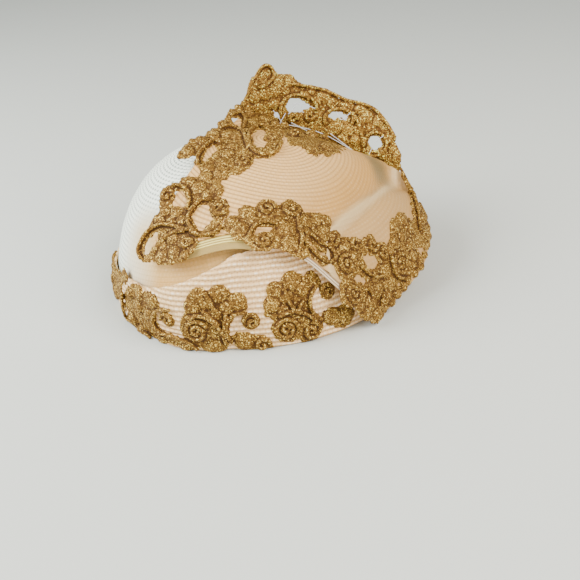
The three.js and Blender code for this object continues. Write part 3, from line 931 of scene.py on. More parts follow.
def mark_hollow_shade(mesh):
    """Keeps at each point how sunken the surface is there, from 0 on a loop to 1 in a pit, as painted shade
    for the thread.
    """
    count = len(mesh.vertices)

    def read(items, name, kind, columns):
        values = np.empty(len(items) * columns, kind)
        items.foreach_get(name, values)
        return values.reshape(-1, columns)

    places = read(mesh.vertices, "co", float, 3)
    normals = read(mesh.vertices, "normal", np.float32, 3)
    ends = read(mesh.edges, "vertices", int, 2)
    tally = np.bincount(ends.ravel(), minlength=count)[:, None]

    def around(values):
        total = np.zeros_like(values)
        for k in range(values.shape[1]):
            total[:, k] += np.bincount(ends[:, 0], values[ends[:, 1], k], count)
            total[:, k] += np.bincount(ends[:, 1], values[ends[:, 0], k], count)
        return total / np.maximum(tally, 1)

    mean = around(around(places))
    rise = ((mean - places) * normals).sum(axis=1, keepdims=True)
    hollow = np.clip(around(around(rise)) / HOLLOW_DEPTH, 0, 1)
    mesh.attributes.new("hollow", "FLOAT", "POINT").data.foreach_set("value", hollow.ravel())


# The lace's motifs, each drawn on a seat with its size in millimetres. Upward is the seat's direction.


def arc(radius, start, end, steps, up=0, end_radius=None):
    """Points of an arc round a point of the upward axis, or of a spiral where it ends at another radius."""
    points = []
    for k in range(steps + 1):
        share = k / steps
        turn = math.radians(start + (end - start) * share)
        reach = radius + ((end_radius or radius) - radius) * share
        points.append((reach * math.cos(turn), up + reach * math.sin(turn)))
    return points


def coil(band, seat, size, side):
    """A coil: a cord that winds inwards on a low mound."""
    thick = band.lace.cord * COIL["cord"]
    turns = (size - thick) / (COIL["pitch"] * thick)
    path = arc(size - thick, 90, 90 + side * 360 * turns, int(turns * COIL["steps"]), end_radius=COIL["end"])
    band.cord(seat, path, thick, COIL["rise"])
    mound = size * COIL["mound"]
    band.pad(seat, 0, 0, mound, mound, height=COIL["height"])


def fan(band, seat, size, side):
    """A palmette: five lobes that spread from a base."""
    for k, angle in enumerate(FAN["lobes"]):
        reach = size * (FAN["reach"] - FAN["droop"] * abs(k - 2))
        way = math.radians(90 + angle)
        x, y = reach * math.cos(way), reach * math.sin(way)
        band.pad(seat, x, y, size * 0.4, size * 0.215, 90 + angle, FAN["height"])
    band.pad(seat, 0, size * 0.12, size * 0.34, size * 0.3, height=FAN["rise"])
    band.cord(seat, arc(size * 0.34, 20, 160, 10, size * 0.1), band.lace.cord * 0.9, FAN["rise"])


def bean(band, seat, size, side):
    """Two mounds side by side."""
    for sign in (-1, 1):
        band.pad(seat, sign * size * 0.5, 0, size * 0.52, size * 0.62, sign * BEAN_TURN, BEAN_HEIGHT)


def pad(band, seat, size, side):
    """One mound, longer upwards than across."""
    band.pad(seat, 0, 0, size * 0.68, size)


def disc(band, seat, size, side):
    """One round mound."""
    band.pad(seat, 0, 0, size, size)


MOTIFS = {"coil": coil, "fan": fan, "bean": bean, "pad": pad, "disc": disc}

# Where the photograph shows the lace, in its pixels. An outline is filled with thread, apart from its
# holes. A motif has the pixel at its middle, its radius in pixels, the picture's angle of its upward
# direction and which way round it turns, as far as it needs them. A cord is a row of pixels.
MOTIF_WAY = [0, 1]

PINCH_LACE = {
    "outlines": [
        [
            (119, 256), (122, 258), (124, 269), (130, 274), (128, 281), (124, 285), (124, 294), (128, 307),
            (127, 310), (120, 305), (115, 292), (111, 281), (112, 269), (116, 262),
        ],
    ],
}
RIM_LACE = {
    "outlines": [
        [
            (124, 297), (126, 290), (132, 286), (137, 285), (143, 288), (146, 294), (150, 293), (157, 297),
            (160, 302), (160, 308), (157, 314), (157, 321), (162, 330), (168, 334), (175, 335), (185, 340),
            (194, 345), (200, 347), (199, 353), (196, 357), (187, 355), (175, 350), (162, 347), (155, 340),
            (146, 337), (137, 331), (131, 323), (128, 313),
        ],
        [
            (186, 310), (185, 302), (189, 294), (197, 288), (203, 288), (207, 291), (214, 286), (222, 285),
            (228, 289), (231, 293), (238, 293), (244, 298), (248, 306), (243, 313), (234, 316), (230, 323),
            (229, 330), (231, 340), (229, 347), (224, 354), (215, 357), (206, 355), (203, 348), (198, 347),
            (190, 343), (184, 338), (180, 329), (181, 322),
        ],
        [
            (264, 313), (264, 303), (267, 295), (268, 287), (273, 282), (281, 281), (283, 274), (291, 271),
            (299, 273), (303, 277), (309, 271), (317, 274), (321, 279), (320, 284), (316, 288), (311, 295),
            (309, 302), (311, 310), (320, 317), (323, 324), (322, 330), (317, 337), (309, 343), (303, 343),
            (300, 337), (293, 341), (286, 343), (275, 338), (271, 331), (272, 324), (275, 319), (268, 318),
        ],
        [
            (231, 337), (238, 332), (250, 333), (262, 334), (272, 340), (275, 347), (270, 352), (258, 352),
            (242, 350),
        ],
        [
            (321, 316), (326, 309), (334, 307), (344, 305), (352, 308), (355, 316), (350, 324), (340, 327),
            (327, 323),
        ],
    ],
    "discs": [
        (134, 293, 6), (141, 294, 7), (152, 301, 8), (150, 313, 6), (192, 306, 8), (198, 296, 8.5),
        (218, 294, 9), (237, 302, 9.5), (207, 303, 7), (226, 308, 7), (214, 314, 7), (216, 347, 9.5),
        (244, 341, 9.5), (275, 290, 8.5), (291, 281, 9.5), (272, 304, 8.5), (285, 297, 7), (301, 289, 7),
        (283, 310, 6), (332, 316, 9.5), (345, 315, 9.5),
    ],
    "pads": [
        (141, 305, 9, 100), (136, 318, 9, 120), (145, 328, 9, 45), (164, 341, 9, 60), (187, 349, 9, 70),
    ],
    "coils": [
        (168, 319, 9.5, 180, -1), (197, 331, 14, 20, 1), (251, 321, 10, 180, -1), (263, 344, 9.5, 0, 1),
        (286, 329, 14, 0, 1), (311, 330, 11.5, 90, -1), (327, 291, 9.5, 180, -1),
    ],
    "cords": [
        [(227, 335), (226, 326), (230, 317), (238, 313), (247, 312)],
        [(172, 309), (164, 308), (157, 311), (155, 318), (157, 327), (163, 334)],
        [(157, 310), (156, 322), (163, 331), (176, 335), (190, 341), (199, 348)],
        [(126, 291), (127, 303), (131, 316), (140, 330), (152, 338)],
        [(226, 313), (224, 325), (227, 334), (232, 341)],
        [(189, 318), (199, 315), (211, 320), (221, 330), (226, 342)],
        [(203, 310), (212, 318), (219, 324)],
        [(316, 285), (311, 293), (309, 302), (312, 311), (321, 319)],
        [(278, 316), (290, 311), (301, 312), (312, 317), (321, 327)],
        [(303, 300), (298, 308), (302, 313)],
        [(205, 292), (210, 302), (216, 312)],
        [(283, 288), (288, 300), (295, 311)],
    ],
}
FRONT_LACE = {
    "outlines": [
        [
            (222, 223), (231, 217), (238, 216), (239, 210), (245, 206), (253, 208), (256, 209), (258, 203),
            (266, 200), (274, 202), (279, 207), (282, 202), (289, 200), (297, 202), (302, 210), (303, 214),
            (308, 214), (315, 213), (324, 215), (330, 219), (331, 225), (329, 229), (337, 232), (338, 238),
            (334, 246), (340, 238), (346, 237), (350, 239), (356, 238), (362, 243), (358, 258), (352, 268),
            (352, 278), (345, 282), (336, 274), (334, 264), (330, 265), (321, 264), (314, 258), (306, 254),
            (305, 260), (298, 258), (289, 253), (282, 250), (271, 250), (262, 253), (254, 250), (248, 242),
            (241, 240), (234, 240), (230, 232), (223, 230),
        ],
    ],
    "holes": [
        [
            (254, 233), (257, 228), (264, 226), (273, 227), (276, 230), (268, 232), (262, 234), (257, 240),
            (254, 238),
        ],
        [(304, 239), (308, 240), (313, 245), (312, 248), (307, 245)],
        [(314, 247), (319, 248), (326, 254), (326, 258), (321, 256), (316, 251)],
    ],
    "discs": [
        (232, 223, 6), (240, 231, 8.5), (248, 213, 7.5), (254, 222, 6), (250, 240, 6), (279, 223, 6),
        (286, 230, 9), (290, 244, 8.5), (302, 252, 7), (305, 222, 7.5), (315, 220, 7), (325, 221, 6.5),
        (322, 234, 8.5), (333, 238, 6), (306, 233, 6), (330, 247, 5), (343, 246, 6.5), (354, 257, 6),
    ],
    "coils": [
        (267, 209, 10.5, 0, 1), (290, 209, 10.5, 0, -1), (264, 242, 9.5, 90, 1), (354, 246, 8.5, 0, 1),
        (346, 265, 11, 90, 1),
    ],
    "cords": [
        [(249, 243), (251, 233), (258, 225), (268, 223), (277, 226)],
        [
            (300, 236), (308, 248), (318, 258), (328, 263), (334, 258), (330, 250), (320, 243), (309, 236),
            (301, 232),
        ],
        [(296, 216), (298, 228), (301, 240), (299, 252)],
        [(333, 232), (338, 238), (335, 248)],
    ],
}
RIGHT_LACE = {
    "outlines": [
        [
            (358, 240), (362, 241), (365, 237), (371, 235), (376, 238), (378, 244), (384, 243), (388, 246),
            (390, 238), (389, 230), (390, 224), (393, 219), (397, 217), (400, 211), (404, 213), (408, 218),
            (413, 223), (412, 216), (410, 207), (409, 198), (407, 186), (401, 170), (404, 168), (407, 180),
            (412, 187), (416, 196), (422, 206), (427, 215), (430, 226), (431, 234), (432, 238), (429, 246),
            (425, 252), (422, 262), (417, 269), (410, 277), (406, 285), (400, 289), (394, 297), (389, 306),
            (383, 313), (380, 320), (373, 322), (364, 318), (357, 313), (354, 307), (350, 306), (342, 303),
            (339, 295), (340, 284), (346, 280), (352, 276), (351, 266), (356, 254),
        ],
    ],
    "holes": [
        [(363, 254), (367, 253), (375, 256), (380, 263), (374, 271), (368, 270), (364, 262)],
        [(354, 276), (359, 274), (365, 278), (364, 287), (359, 284), (352, 281)],
        [(418, 246), (421, 247), (424, 253), (421, 257), (418, 252)],
        [(397, 284), (401, 281), (403, 283), (399, 287)],
    ],
    "discs": [
        (394, 228, 6.5), (401, 219, 7.5), (408, 228, 7), (401, 236, 6.5), (394, 243, 6.5), (409, 245, 7),
        (412, 256, 6), (384, 272, 8), (388, 284, 8.5), (376, 290, 8.5), (374, 278, 6), (386, 297, 7.5),
        (370, 303, 8), (366, 314, 7), (378, 312, 8.5), (359, 306, 6), (421, 219, 7.5), (425, 236, 7.5),
        (416, 207, 6), (411, 194, 4.5), (419, 260, 6), (424, 255, 4), (420, 266, 5), (414, 273, 5),
        (407, 281, 5), (403, 287, 5), (397, 294, 5), (391, 302, 5),
    ],
    "coils": [(371, 245, 9, 0, -1), (383, 254, 8, 90, 1), (400, 265, 14, 40, 1), (352, 293, 12, 0, -1)],
    "cords": [
        [(359, 266), (366, 273), (375, 277), (383, 275)],
        [(389, 256), (391, 266), (396, 277), (404, 279)],
        [(366, 288), (370, 296), (372, 308)],
        [(382, 292), (380, 300), (378, 308)],
        [(408, 188), (413, 203), (416, 218), (418, 232)],
        [(401, 169), (405, 176), (409, 184), (412, 192)],
        [(402, 175), (406, 182), (409, 190), (412, 198)],
    ],
}
LEFT_LACE = {
    "outlines": [
        [
            (139, 255), (141, 246), (145, 234), (150, 227), (154, 219), (159, 213), (160, 205), (159, 200),
            (162, 192), (167, 187), (173, 184), (178, 187), (180, 183), (182, 177), (190, 176), (198, 178),
            (200, 172), (197, 167), (196, 160), (199, 156), (196, 155), (190, 156), (185, 160), (179, 160),
            (176, 156), (178, 152), (182, 146), (188, 142), (196, 138), (205, 136), (212, 130), (218, 127),
            (225, 118), (230, 111), (236, 109), (243, 102), (250, 104), (262, 110), (274, 117), (280, 124),
            (284, 133), (283, 143), (280, 151), (273, 157), (262, 160), (255, 158), (252, 164), (249, 169),
            (241, 174), (232, 174), (227, 179), (221, 182), (223, 187), (224, 194), (219, 198), (226, 201),
            (229, 207), (229, 214), (225, 218), (222, 224), (223, 229), (217, 235), (207, 238), (198, 238),
            (198, 243), (196, 249), (191, 254), (187, 257), (182, 261), (177, 261), (171, 264), (164, 265),
            (157, 263), (152, 260), (146, 262), (140, 259),
        ],
    ],
    "holes": [
        [
            (193, 212), (199, 206), (209, 205), (211, 214), (215, 219), (208, 227), (203, 232), (197, 230),
            (193, 222),
        ],
        [(175, 192), (181, 190), (187, 195), (188, 202), (185, 208), (178, 209), (172, 207), (175, 200)],
        [(204, 154), (207, 148), (215, 145), (219, 151), (212, 154), (208, 161), (203, 164), (202, 158)],
        [(146, 246), (152, 235), (159, 231), (158, 239), (153, 249), (149, 256), (144, 256)],
        [(252, 136), (258, 132), (265, 132), (264, 140), (268, 144), (265, 147), (258, 149), (254, 146)],
        [(231, 118), (239, 119), (241, 127), (236, 128)],
    ],
    "discs": [
        (214, 136, 7), (189, 183, 7), (206, 178, 7), (199, 188, 7.5), (217, 190, 7), (208, 196, 6),
        (166, 212, 6), (177, 213, 6.5), (161, 221, 5.5), (172, 222, 5.5), (183, 221, 6), (173, 239, 6.5),
        (162, 246, 7), (162, 256, 8), (175, 253, 7), (185, 256, 5), (221, 173, 8), (222, 164, 7),
        (227, 155, 7.5), (209, 170, 6), (227, 136, 8), (237, 138, 7.5), (233, 148, 6), (223, 126, 6.5),
        (248, 112, 7), (252, 124, 7.5), (265, 121, 8), (247, 134, 6), (275, 127, 6), (262, 113, 6),
        (238, 109, 5),
    ],
    "pads": [(188, 152, 9, -58), (202, 142, 9, -56), (215, 226, 7, 30), (164, 235, 7, -40)],
    "coils": [
        (167, 196, 8.5, 0, 1), (219, 209, 9.5, 0, -1), (187, 245, 8.5, 0, 1), (244, 162, 10.5, 30, 1),
        (271, 139, 6.5, 0, -1),
    ],
    "cords": [
        [(172, 186), (181, 187), (188, 192), (190, 200), (188, 211)],
        [(213, 201), (203, 201), (196, 206), (191, 213), (189, 221), (192, 228), (198, 234)],
        [(191, 233), (202, 236), (215, 234), (222, 228)],
        [(143, 260), (140, 251), (144, 239), (151, 230), (160, 225), (170, 225), (180, 228), (190, 231)],
        [(198, 166), (198, 158), (202, 152), (208, 146), (215, 143), (222, 146)],
        [(155, 256), (160, 247), (165, 240), (175, 233), (186, 232)],
        [(268, 131), (258, 129), (250, 135), (249, 144), (254, 153), (264, 157), (275, 154), (281, 145)],
        [(220, 130), (228, 128), (240, 132), (246, 142), (248, 150)],
        [(230, 117), (238, 114), (244, 121), (243, 131)],
    ],
}
COLLAR_LACE = {
    "outlines": [
        [
            (273, 71), (279, 73), (289, 74), (294, 79), (299, 83), (310, 85), (320, 88), (330, 92),
            (336, 97), (343, 99), (354, 103), (364, 104), (373, 109), (380, 114), (385, 120), (388, 127),
            (393, 133), (396, 140), (398, 146), (400, 149), (402, 156), (402, 166), (397, 172), (384, 169),
            (374, 166), (362, 160), (348, 155), (336, 150), (320, 144), (306, 139), (288, 134), (276, 129),
            (262, 127), (250, 120), (243, 110), (241, 103), (244, 97), (247, 90), (249, 82), (256, 73),
            (264, 66), (270, 68),
        ],
    ],
    "holes": [
        [
            (285, 106), (288, 100), (294, 99), (302, 100), (311, 106), (310, 109), (303, 110), (300, 113),
            (295, 111), (287, 111),
        ],
        [(273, 112), (278, 112), (281, 117), (277, 120)],
        [(328, 115), (335, 112), (347, 114), (349, 118), (344, 120), (339, 117), (332, 120)],
        [(368, 143), (371, 137), (377, 136), (382, 140), (382, 146), (377, 150), (371, 149)],
    ],
    "discs": [
        (278, 82, 7.5), (289, 81, 7), (274, 91, 7), (264, 93, 8), (254, 97, 7), (263, 83, 6), (284, 91, 6),
        (257, 108, 6.5), (310, 91, 6), (324, 96, 8.5), (316, 101, 6), (332, 103, 6), (348, 106, 7.5),
        (360, 109, 7), (367, 117, 7), (379, 121, 7), (360, 121, 6), (336, 127, 8), (348, 129, 8),
        (330, 132, 6), (343, 139, 7), (356, 139, 7), (359, 129, 7), (383, 154, 7), (368, 151, 6),
        (389, 138, 6.5),
    ],
    "pads": [(273, 104, 8, 10), (397, 157, 7, 80)],
    "coils": [(292, 119, 8, 0, 1), (309, 115, 8, 0, -1), (248, 110, 7.5, 0, 1)],
    "cords": [
        [(246, 95), (248, 86), (254, 78), (258, 71), (264, 66), (270, 68), (273, 76), (266, 84), (257, 88)],
        [(280, 118), (280, 107), (284, 99), (293, 95), (305, 96), (314, 101), (317, 110)],
        [(325, 124), (325, 115), (334, 109), (346, 110), (353, 116), (352, 124)],
        [(364, 144), (368, 135), (377, 132), (385, 137), (387, 146), (382, 153), (373, 155), (366, 151)],
        [
            (292, 84), (304, 86), (320, 89), (333, 94), (346, 100), (362, 104), (375, 110), (386, 122),
            (395, 138),
        ],
        [(352, 112), (358, 122), (362, 134), (364, 146)],
        [(300, 92), (306, 94), (308, 100)],
    ],
}
CROWN_LACE = {
    "outlines": [
        [
            (283, 134), (285, 129), (294, 127), (304, 128), (314, 131), (323, 134), (330, 139), (338, 143),
            (337, 149), (334, 155), (326, 157), (320, 153), (316, 156), (310, 155), (305, 149), (299, 147),
            (291, 147), (286, 141),
        ],
    ],
    "discs": [(284, 128, 5), (311, 137, 7.5), (312, 149, 7), (327, 149, 7.5), (323, 140, 6)],
    "coils": [(294, 137, 7.5, 0, 1)],
}
NET_THREADS = [
    [(287, 113), (298, 103), (314, 108)],
    [(291, 104), (298, 103), (302, 112)],
    [(271, 109), (276, 115), (281, 121)],
    [(284, 112), (281, 117), (278, 122)],
    [(336, 112), (341, 119), (350, 113)],
    [(370, 152), (376, 141), (384, 136)],
    [(278, 122), (292, 124), (306, 127), (322, 132), (338, 140), (352, 148), (368, 158), (384, 165)],
    [(290, 121), (304, 128), (318, 135)],
    [(330, 132), (344, 142), (358, 152)],
]

# One repeat of the rim lace that the photograph doesn't show: degrees along, millimetres up the wall.
FAR_REPEAT = table(
    ("kind", "along", "up", "size", "turn", "side"),
    ("fan", 8, 15, 21, 8, 1),
    ("coil", 1, 10, 9, 0, 1),
    ("disc", 10, 6, 7, 0, 1),
    ("coil", 18, 18, 7, 180, -1),
    ("bean", 18, 6, 10, 0, 1),
    ("pad", 25, 8, 9, 70, 1),
)
# Where the repeats go, how far out they are looked for, and how they shrink where the wrap is low
FAR_LACE = {"from": 318, "to": 564, "step": 30.75, "reach": 115}
FAR_ROOM = {"above": 3, "full": 35, "least": 0.4, "rest": 0.6}


def inside(outline, x, y):
    """Whether a pixel lies within an outline."""
    within = False
    for (ax, ay), (bx, by) in zip(outline, outline[1:] + outline[:1]):
        if (ay > y) != (by > y) and x < ax + (bx - ax) * (y - ay) / (by - ay):
            within = not within
    return within


def in_lace(outline, holes, x, y):
    """Whether thread goes at a pixel: it keeps a little inside the outline and off the holes."""
    tries = [(x + a * FILL["inset"], y + b * FILL["inset"]) for a, b in ((1, 0), (-1, 0), (0, 1), (0, -1))]
    return all(inside(outline, *at) and not any(inside(hole, *at) for hole in holes) for at in tries)


def fill(band, sight, tree, outline, holes, lying):
    """Fills an outline with small low mounds of thread, in staggered rows of pixels."""
    step = FILL["step"]
    left, low = (min(column) for column in zip(*outline))
    right, high = (max(column) for column in zip(*outline))
    for j in range(int((high - low) / step) + 1):
        for i in range(int((right - left) / step) + 2):
            x = left + (i + 0.5 * (j % 2)) * step
            y = low + j * step
            if in_lace(outline, holes, x, y):
                seat = sight.seat(tree, x, y, UPRIGHT, lying)
                long = FILL["radius"] * min(seat.stretch, lying or STRETCH_LIMIT)
                band.pad(seat, 0, 0, FILL["radius"], long, 0, FILL["height"], 2)


def draw_lace(band, sight, tree, drawn, lying=0):
    """Draws what the photograph shows of a band of lace on a surface."""
    for outline in drawn["outlines"]:
        fill(band, sight, tree, outline, drawn.get("holes", ()), lying)
    for kind in ("disc", "pad", "coil"):
        for px, py, size, *way in drawn.get(kind + "s", ()):
            turn, side = way + MOTIF_WAY[len(way) :]
            MOTIFS[kind](band, sight.seat(tree, px, py, turn), size * PIXEL, side)
    place_cords(band, sight, tree, drawn.get("cords", ()), band.lace.cord, CORD_RISE)


def place_cords(band, sight, tree, paths, radius, rise):
    """Cords that run through pixels of the photograph, laid on a surface."""
    for path in paths:
        pixels = path_points(path, CORD_STEPS * (len(path) - 1) + 1, even=False)
        seats = [sight.seat(tree, px, py, UPRIGHT) for px, py in pixels]
        band.thread([seat.lay(0, 0, rise * MM) for seat in seats], radius)


def far_rim_motifs(band, tree):
    """Repeats the rim lace round the side that the photograph doesn't show."""
    up = Vector((0, 0, 1))
    for start in np.arange(FAR_LACE["from"], FAR_LACE["to"], FAR_LACE["step"]):
        for row in FAR_REPEAT:
            angle = start + row["along"]
            turn = math.radians(angle)
            wall = table_row(WRAP_SECTIONS, "angle", "height", np.array([angle % 360]), 360)[0]
            room = min(1.0, (wall + FAR_ROOM["above"]) / FAR_ROOM["full"])
            outwards = Vector((math.cos(turn), math.sin(turn), 0))
            aim = outwards * FAR_LACE["reach"] * MM + Vector((HAT_SHIFT, 0, row["up"] * room)) * MM
            place, square, _, _ = tree.find_nearest(aim)
            lean = math.radians(row["turn"])
            upward = up * math.cos(lean) + up.cross(outwards) * math.sin(lean)
            size = row["size"] * (FAR_ROOM["least"] + FAR_ROOM["rest"] * room)
            MOTIFS[row["kind"]](band, Seat(tree, place, square, upward), size, row["side"])


# The settings that a user would change


class StrawSettings(bpy.types.PropertyGroup):
    """Sizes and colours of the straw."""

    shell_row: FloatProperty(
        name="Upper row",
        description="Width of one row of braid on the upper layer",
        default=0.0029,
        unit="LENGTH",
    )
    wrap_row: FloatProperty(
        name="Wrap row", description="Width of one row of braid on the wrap", default=0.0035, unit="LENGTH"
    )
    cap_row: FloatProperty(
        name="Cap row", description="Width of one row of braid on the cap", default=0.0029, unit="LENGTH"
    )
    relief: FloatProperty(
        name="Relief", description="How far a row of braid bulges", default=0.00035, unit="LENGTH"
    )
    bump: FloatProperty(
        name="Plait depth", description="Depth of the plaited straws", default=0.0005, unit="LENGTH"
    )
    wall: FloatProperty(
        name="Wall", description="Thickness of a straw layer", default=0.0017, unit="LENGTH"
    )
    pale: FloatVectorProperty(
        name="Pale straw",
        description="Colour of the straw where it bulges",
        default=(0.72, 0.42, 0.14),
        subtype="COLOR",
    )
    deep: FloatVectorProperty(
        name="Deep straw",
        description="Colour of the straw between the rows",
        default=(0.4, 0.21, 0.07),
        subtype="COLOR",
    )
    aged: FloatVectorProperty(
        name="Straw shade tint",
        description="Tint of painted shade on the straw in its folds",
        default=(1.0, 0.9, 0.6),
        subtype="COLOR",
    )


class LaceSettings(bpy.types.PropertyGroup):
    """Sizes and colours of the gold lace."""

    cord: FloatProperty(
        name="Cord", description="Radius of a cord round a motif, in millimetres", default=1.25
    )
    voxel: FloatProperty(
        name="Fineness", description="Size of the facets of fused lace", default=0.0006, unit="LENGTH"
    )
    fuzz: FloatProperty(
        name="Fuzz", description="Depth of the loops of thread", default=0.0005, unit="LENGTH"
    )
    pit: FloatVectorProperty(
        name="Pits", description="Colour between the loops", default=(0.055, 0.02, 0.001), subtype="COLOR"
    )
    shade: FloatVectorProperty(
        name="Thread in shade",
        description="Colour of the lower loops",
        default=(0.12, 0.052, 0.007),
        subtype="COLOR",
    )
    thread: FloatVectorProperty(
        name="Thread", description="Colour of the gold thread", default=(0.32, 0.165, 0.024), subtype="COLOR"
    )
    glint: FloatVectorProperty(
        name="Glints",
        description="Colour of the brightest loops",
        default=(0.95, 0.68, 0.17),
        subtype="COLOR",
    )


class StageSettings(bpy.types.PropertyGroup):
    """The floor and the lights."""

    floor: FloatVectorProperty(
        name="Floor", description="Colour of the floor", default=(0.58, 0.6, 0.565), subtype="COLOR"
    )
    key: FloatProperty(name="Key light", description="Power of the main light", default=20.0, unit="POWER")
    window: FloatProperty(
        name="Window light", description="Power of the cool light", default=39.0, unit="POWER"
    )
    sky: FloatProperty(name="Sky", description="Strength of the light all round", default=0.66)
    low: FloatProperty(
        name="Low light", description="Power of the light near the floor", default=7.0, unit="POWER"
    )


# The makers


class HAT_OT_stage(bpy.types.Operator):
    """Makes the floor, the lights and the photograph's camera"""

    bl_idname = "hat.stage"
    bl_label = "Stage"

    def execute(self, context):
        settings = context.scene.hat_stage
        flat = bmesh.new()
        bmesh.ops.create_grid(flat, x_segments=1, y_segments=1, size=FLOOR_HALF)
        mesh = bpy.data.meshes.new("floor")
        flat.to_mesh(mesh)
        flat.free()
        floor = link("floor", mesh)
        finish = Finish("floor")
        worn = tuple(0.9 * c for c in settings.floor)
        colour = finish.blend(finish.speckle(FLOOR_GRAIN, 3.0) * 0.08, tuple(settings.floor), worn)
        finish.surface(base_color=colour, roughness=0.75)
        mesh.materials.append(finish.material)
        camera = bpy.data.cameras.new("photograph")
        camera.sensor_width = SENSOR
        camera.lens = SENSOR * FOCAL_PIXELS / PICTURE
        camera.clip_start = CLIP_START
        holder = link("photograph", camera)
        holder.matrix_world = Sight().matrix()
        context.scene.camera = holder
        for light in LIGHTS:
            add_light(getattr(settings, light["name"]), **light)
        world = bpy.data.worlds.new("studio")
        world.use_nodes = True
        sky = world.node_tree.nodes["Background"]
        sky.inputs["Color"].default_value = SKY_COLOUR
        sky.inputs["Strength"].default_value = settings.sky
        context.scene.world = world
        return {"FINISHED"}


def add_light(power, name, place, size, colour):
    """A soft square light that looks at the hat."""
    light = bpy.data.lights.new(name, "AREA")
    light.energy = power
    light.size = size
    light.color = colour
    towards = Vector(LIGHT_AIM) - Vector(place)
    turn = towards.to_track_quat("-Z", "Y").to_matrix().to_4x4()
    link(name, light).matrix_world = Matrix.Translation(place) @ turn


class HAT_OT_cap(bpy.types.Operator):
    """Makes the domed cap of fine braid"""

    bl_idname = "hat.cap"
    bl_label = "Cap"

    def execute(self, context):
        straw = context.scene.hat_straw
        row = straw.cap_row / MM

        def rows(points, u, v):
            reach = np.linalg.norm(points - CAP_TIP, axis=1)
            return 2 * math.pi * (u - 0.5), reach / row

        def tones(points):
            """The cap is smooth where the layers hide it, and there it gets warm painted shade."""
            x, y, z = points.T
            low = np.clip((CAP_HIDDEN["top"] - z) / CAP_HIDDEN["top_fade"], 0, 1)
            right = np.clip((x - CAP_HIDDEN["left"]) / CAP_HIDDEN["left_fade"], 0, 1)
            hidden = low * right * np.clip((CAP_HIDDEN["near"] - y) / CAP_HIDDEN["near_fade"], 0, 1)
            return {"tone": hidden, "plain": np.clip(hidden * CAP_PLAIN, 0, 1)}

        relief = straw.relief / MM * CAP_RELIEF_SHARE
        mesh = straw_mesh("straw_cap", cap_point, CAP_CELLS, rows, relief, tones, ring=True)
        # Where the layers overhang the cap it gets a warm tint and is darker, both painted shade.
        look = {"plaits": 1.0, "line": 0.05, "dots": 0.95, "shine": 0.1}
        look |= {"pale": (0.96, 1.0, 0.88), "deep": (0.2, 0.24, 0.2), "aged": (0.8, 0.46, 0.15), "dim": 0.16}
        finish = braid_finish("cap_straw", look, straw)
        new_piece("straw_cap", mesh, ["crown_cap"], finish, straw.wall)
        return {"FINISHED"}


class HAT_OT_wrap(bpy.types.Operator):
    """Makes the folded wrap round the rim"""

    bl_idname = "hat.wrap"
    bl_label = "Wrap"

    def execute(self, context):
        straw = context.scene.hat_straw
        row = straw.wrap_row / MM

        def rows(points, u, v):
            """The rows run with the rim."""
            return 2 * math.pi * (u - 0.5), climbed(wrap_point, u, v) / row

        def tones(points):
            """The lip is plain above the fold."""
            angle = np.degrees(np.arctan2(points[:, 1], points[:, 0])) % 360
            height = table_row(WRAP_SECTIONS, "angle", "height", angle, 360)
            return {"plain": np.clip((points[:, 2] - height) / LIP_FADE, 0, 1)}

        relief = straw.relief / MM * WRAP_RELIEF_SHARE
        mesh = straw_mesh("straw_wrap", wrap_point, WRAP_CELLS, rows, relief, tones, ring=True)
        # The wrap's plaits get strong painted highlights.
        look = {"plaits": 1.0, "line": 0.5, "dots": 0.5, "shine": 0.3, "soft": 0.85, "gleam": 0.8}
        look |= {"waver": 1.2, "pale": (0.86, 0.56, 0.265)}
        look |= {"deep": tuple(straw.deep), "aged": tuple(straw.aged)}
        finish = braid_finish("wrap_straw", look, straw, WRAP_RADIUS / row)
        new_piece("straw_wrap", mesh, ["brim_wrap"], finish, straw.wall)
        return {"FINISHED"}


class HAT_OT_shell(bpy.types.Operator):
    """Makes the creased upper layer"""

    bl_idname = "hat.shell"
    bl_label = "Upper layer"

    def execute(self, context):
        straw = context.scene.hat_straw
        row = straw.shell_row / MM

        def rows(points, u, v):
            from_tip = points - SHELL_TIP
            return np.arctan2(from_tip[:, 0], -from_tip[:, 1]), np.linalg.norm(from_tip, axis=1) / row

        def tones(points):
            """The straw gets painted shade along the crease and a painted highlight on the fold's edge, and
            is plain to the right of it.
            """
            past = right_of_fold(points)
            aged = hump(past, CREASE_SHADE) * np.clip(1 - past / CREASE_SHADE["end"], 0, 1)
            from_tip = (points - SHEER["at"]) * SHEER["squeeze"]
            sheer = np.exp(-((np.linalg.norm(from_tip, axis=1) / SHEER["reach"]) ** 4))
            plain = np.clip((past - PLAIN["from"]) / PLAIN["over"], 0, 1) ** 2
            bright = hump(past, FOLD_HIGHLIGHT) * (1 - sheer)
            return {"tone": aged, "plain": plain, "sheer": sheer, "bright": bright}

        def fold(points):
            """The right panel's edge stands out along the crease."""
            past = right_of_fold(points)
            fade = np.linalg.norm(points[:, :2] - CREASE_LINE[-1], axis=1) / RIDGE["fade"]
            return RIDGE["rise"] * np.clip(fade, 0, 1) * (hump(past, RIDGE) - hump(past, GROOVE))

        mesh = straw_mesh("straw_shell", shell_point, SHELL_CELLS, rows, straw.relief / MM, tones, fold)
        # The panel right of the crease is painted darker, as painted shade.
        look = {"plaits": 0.9, "line": 0.42, "dots": 0.3, "shine": 0.12, "dim": 0.36}
        look |= {"pale": tuple(straw.pale), "deep": tuple(straw.deep), "aged": tuple(straw.aged)}
        finish = braid_finish("shell_straw", look, straw)
        new_piece("straw_shell", mesh, ["upper_shell"], finish, straw.wall)
        return {"FINISHED"}


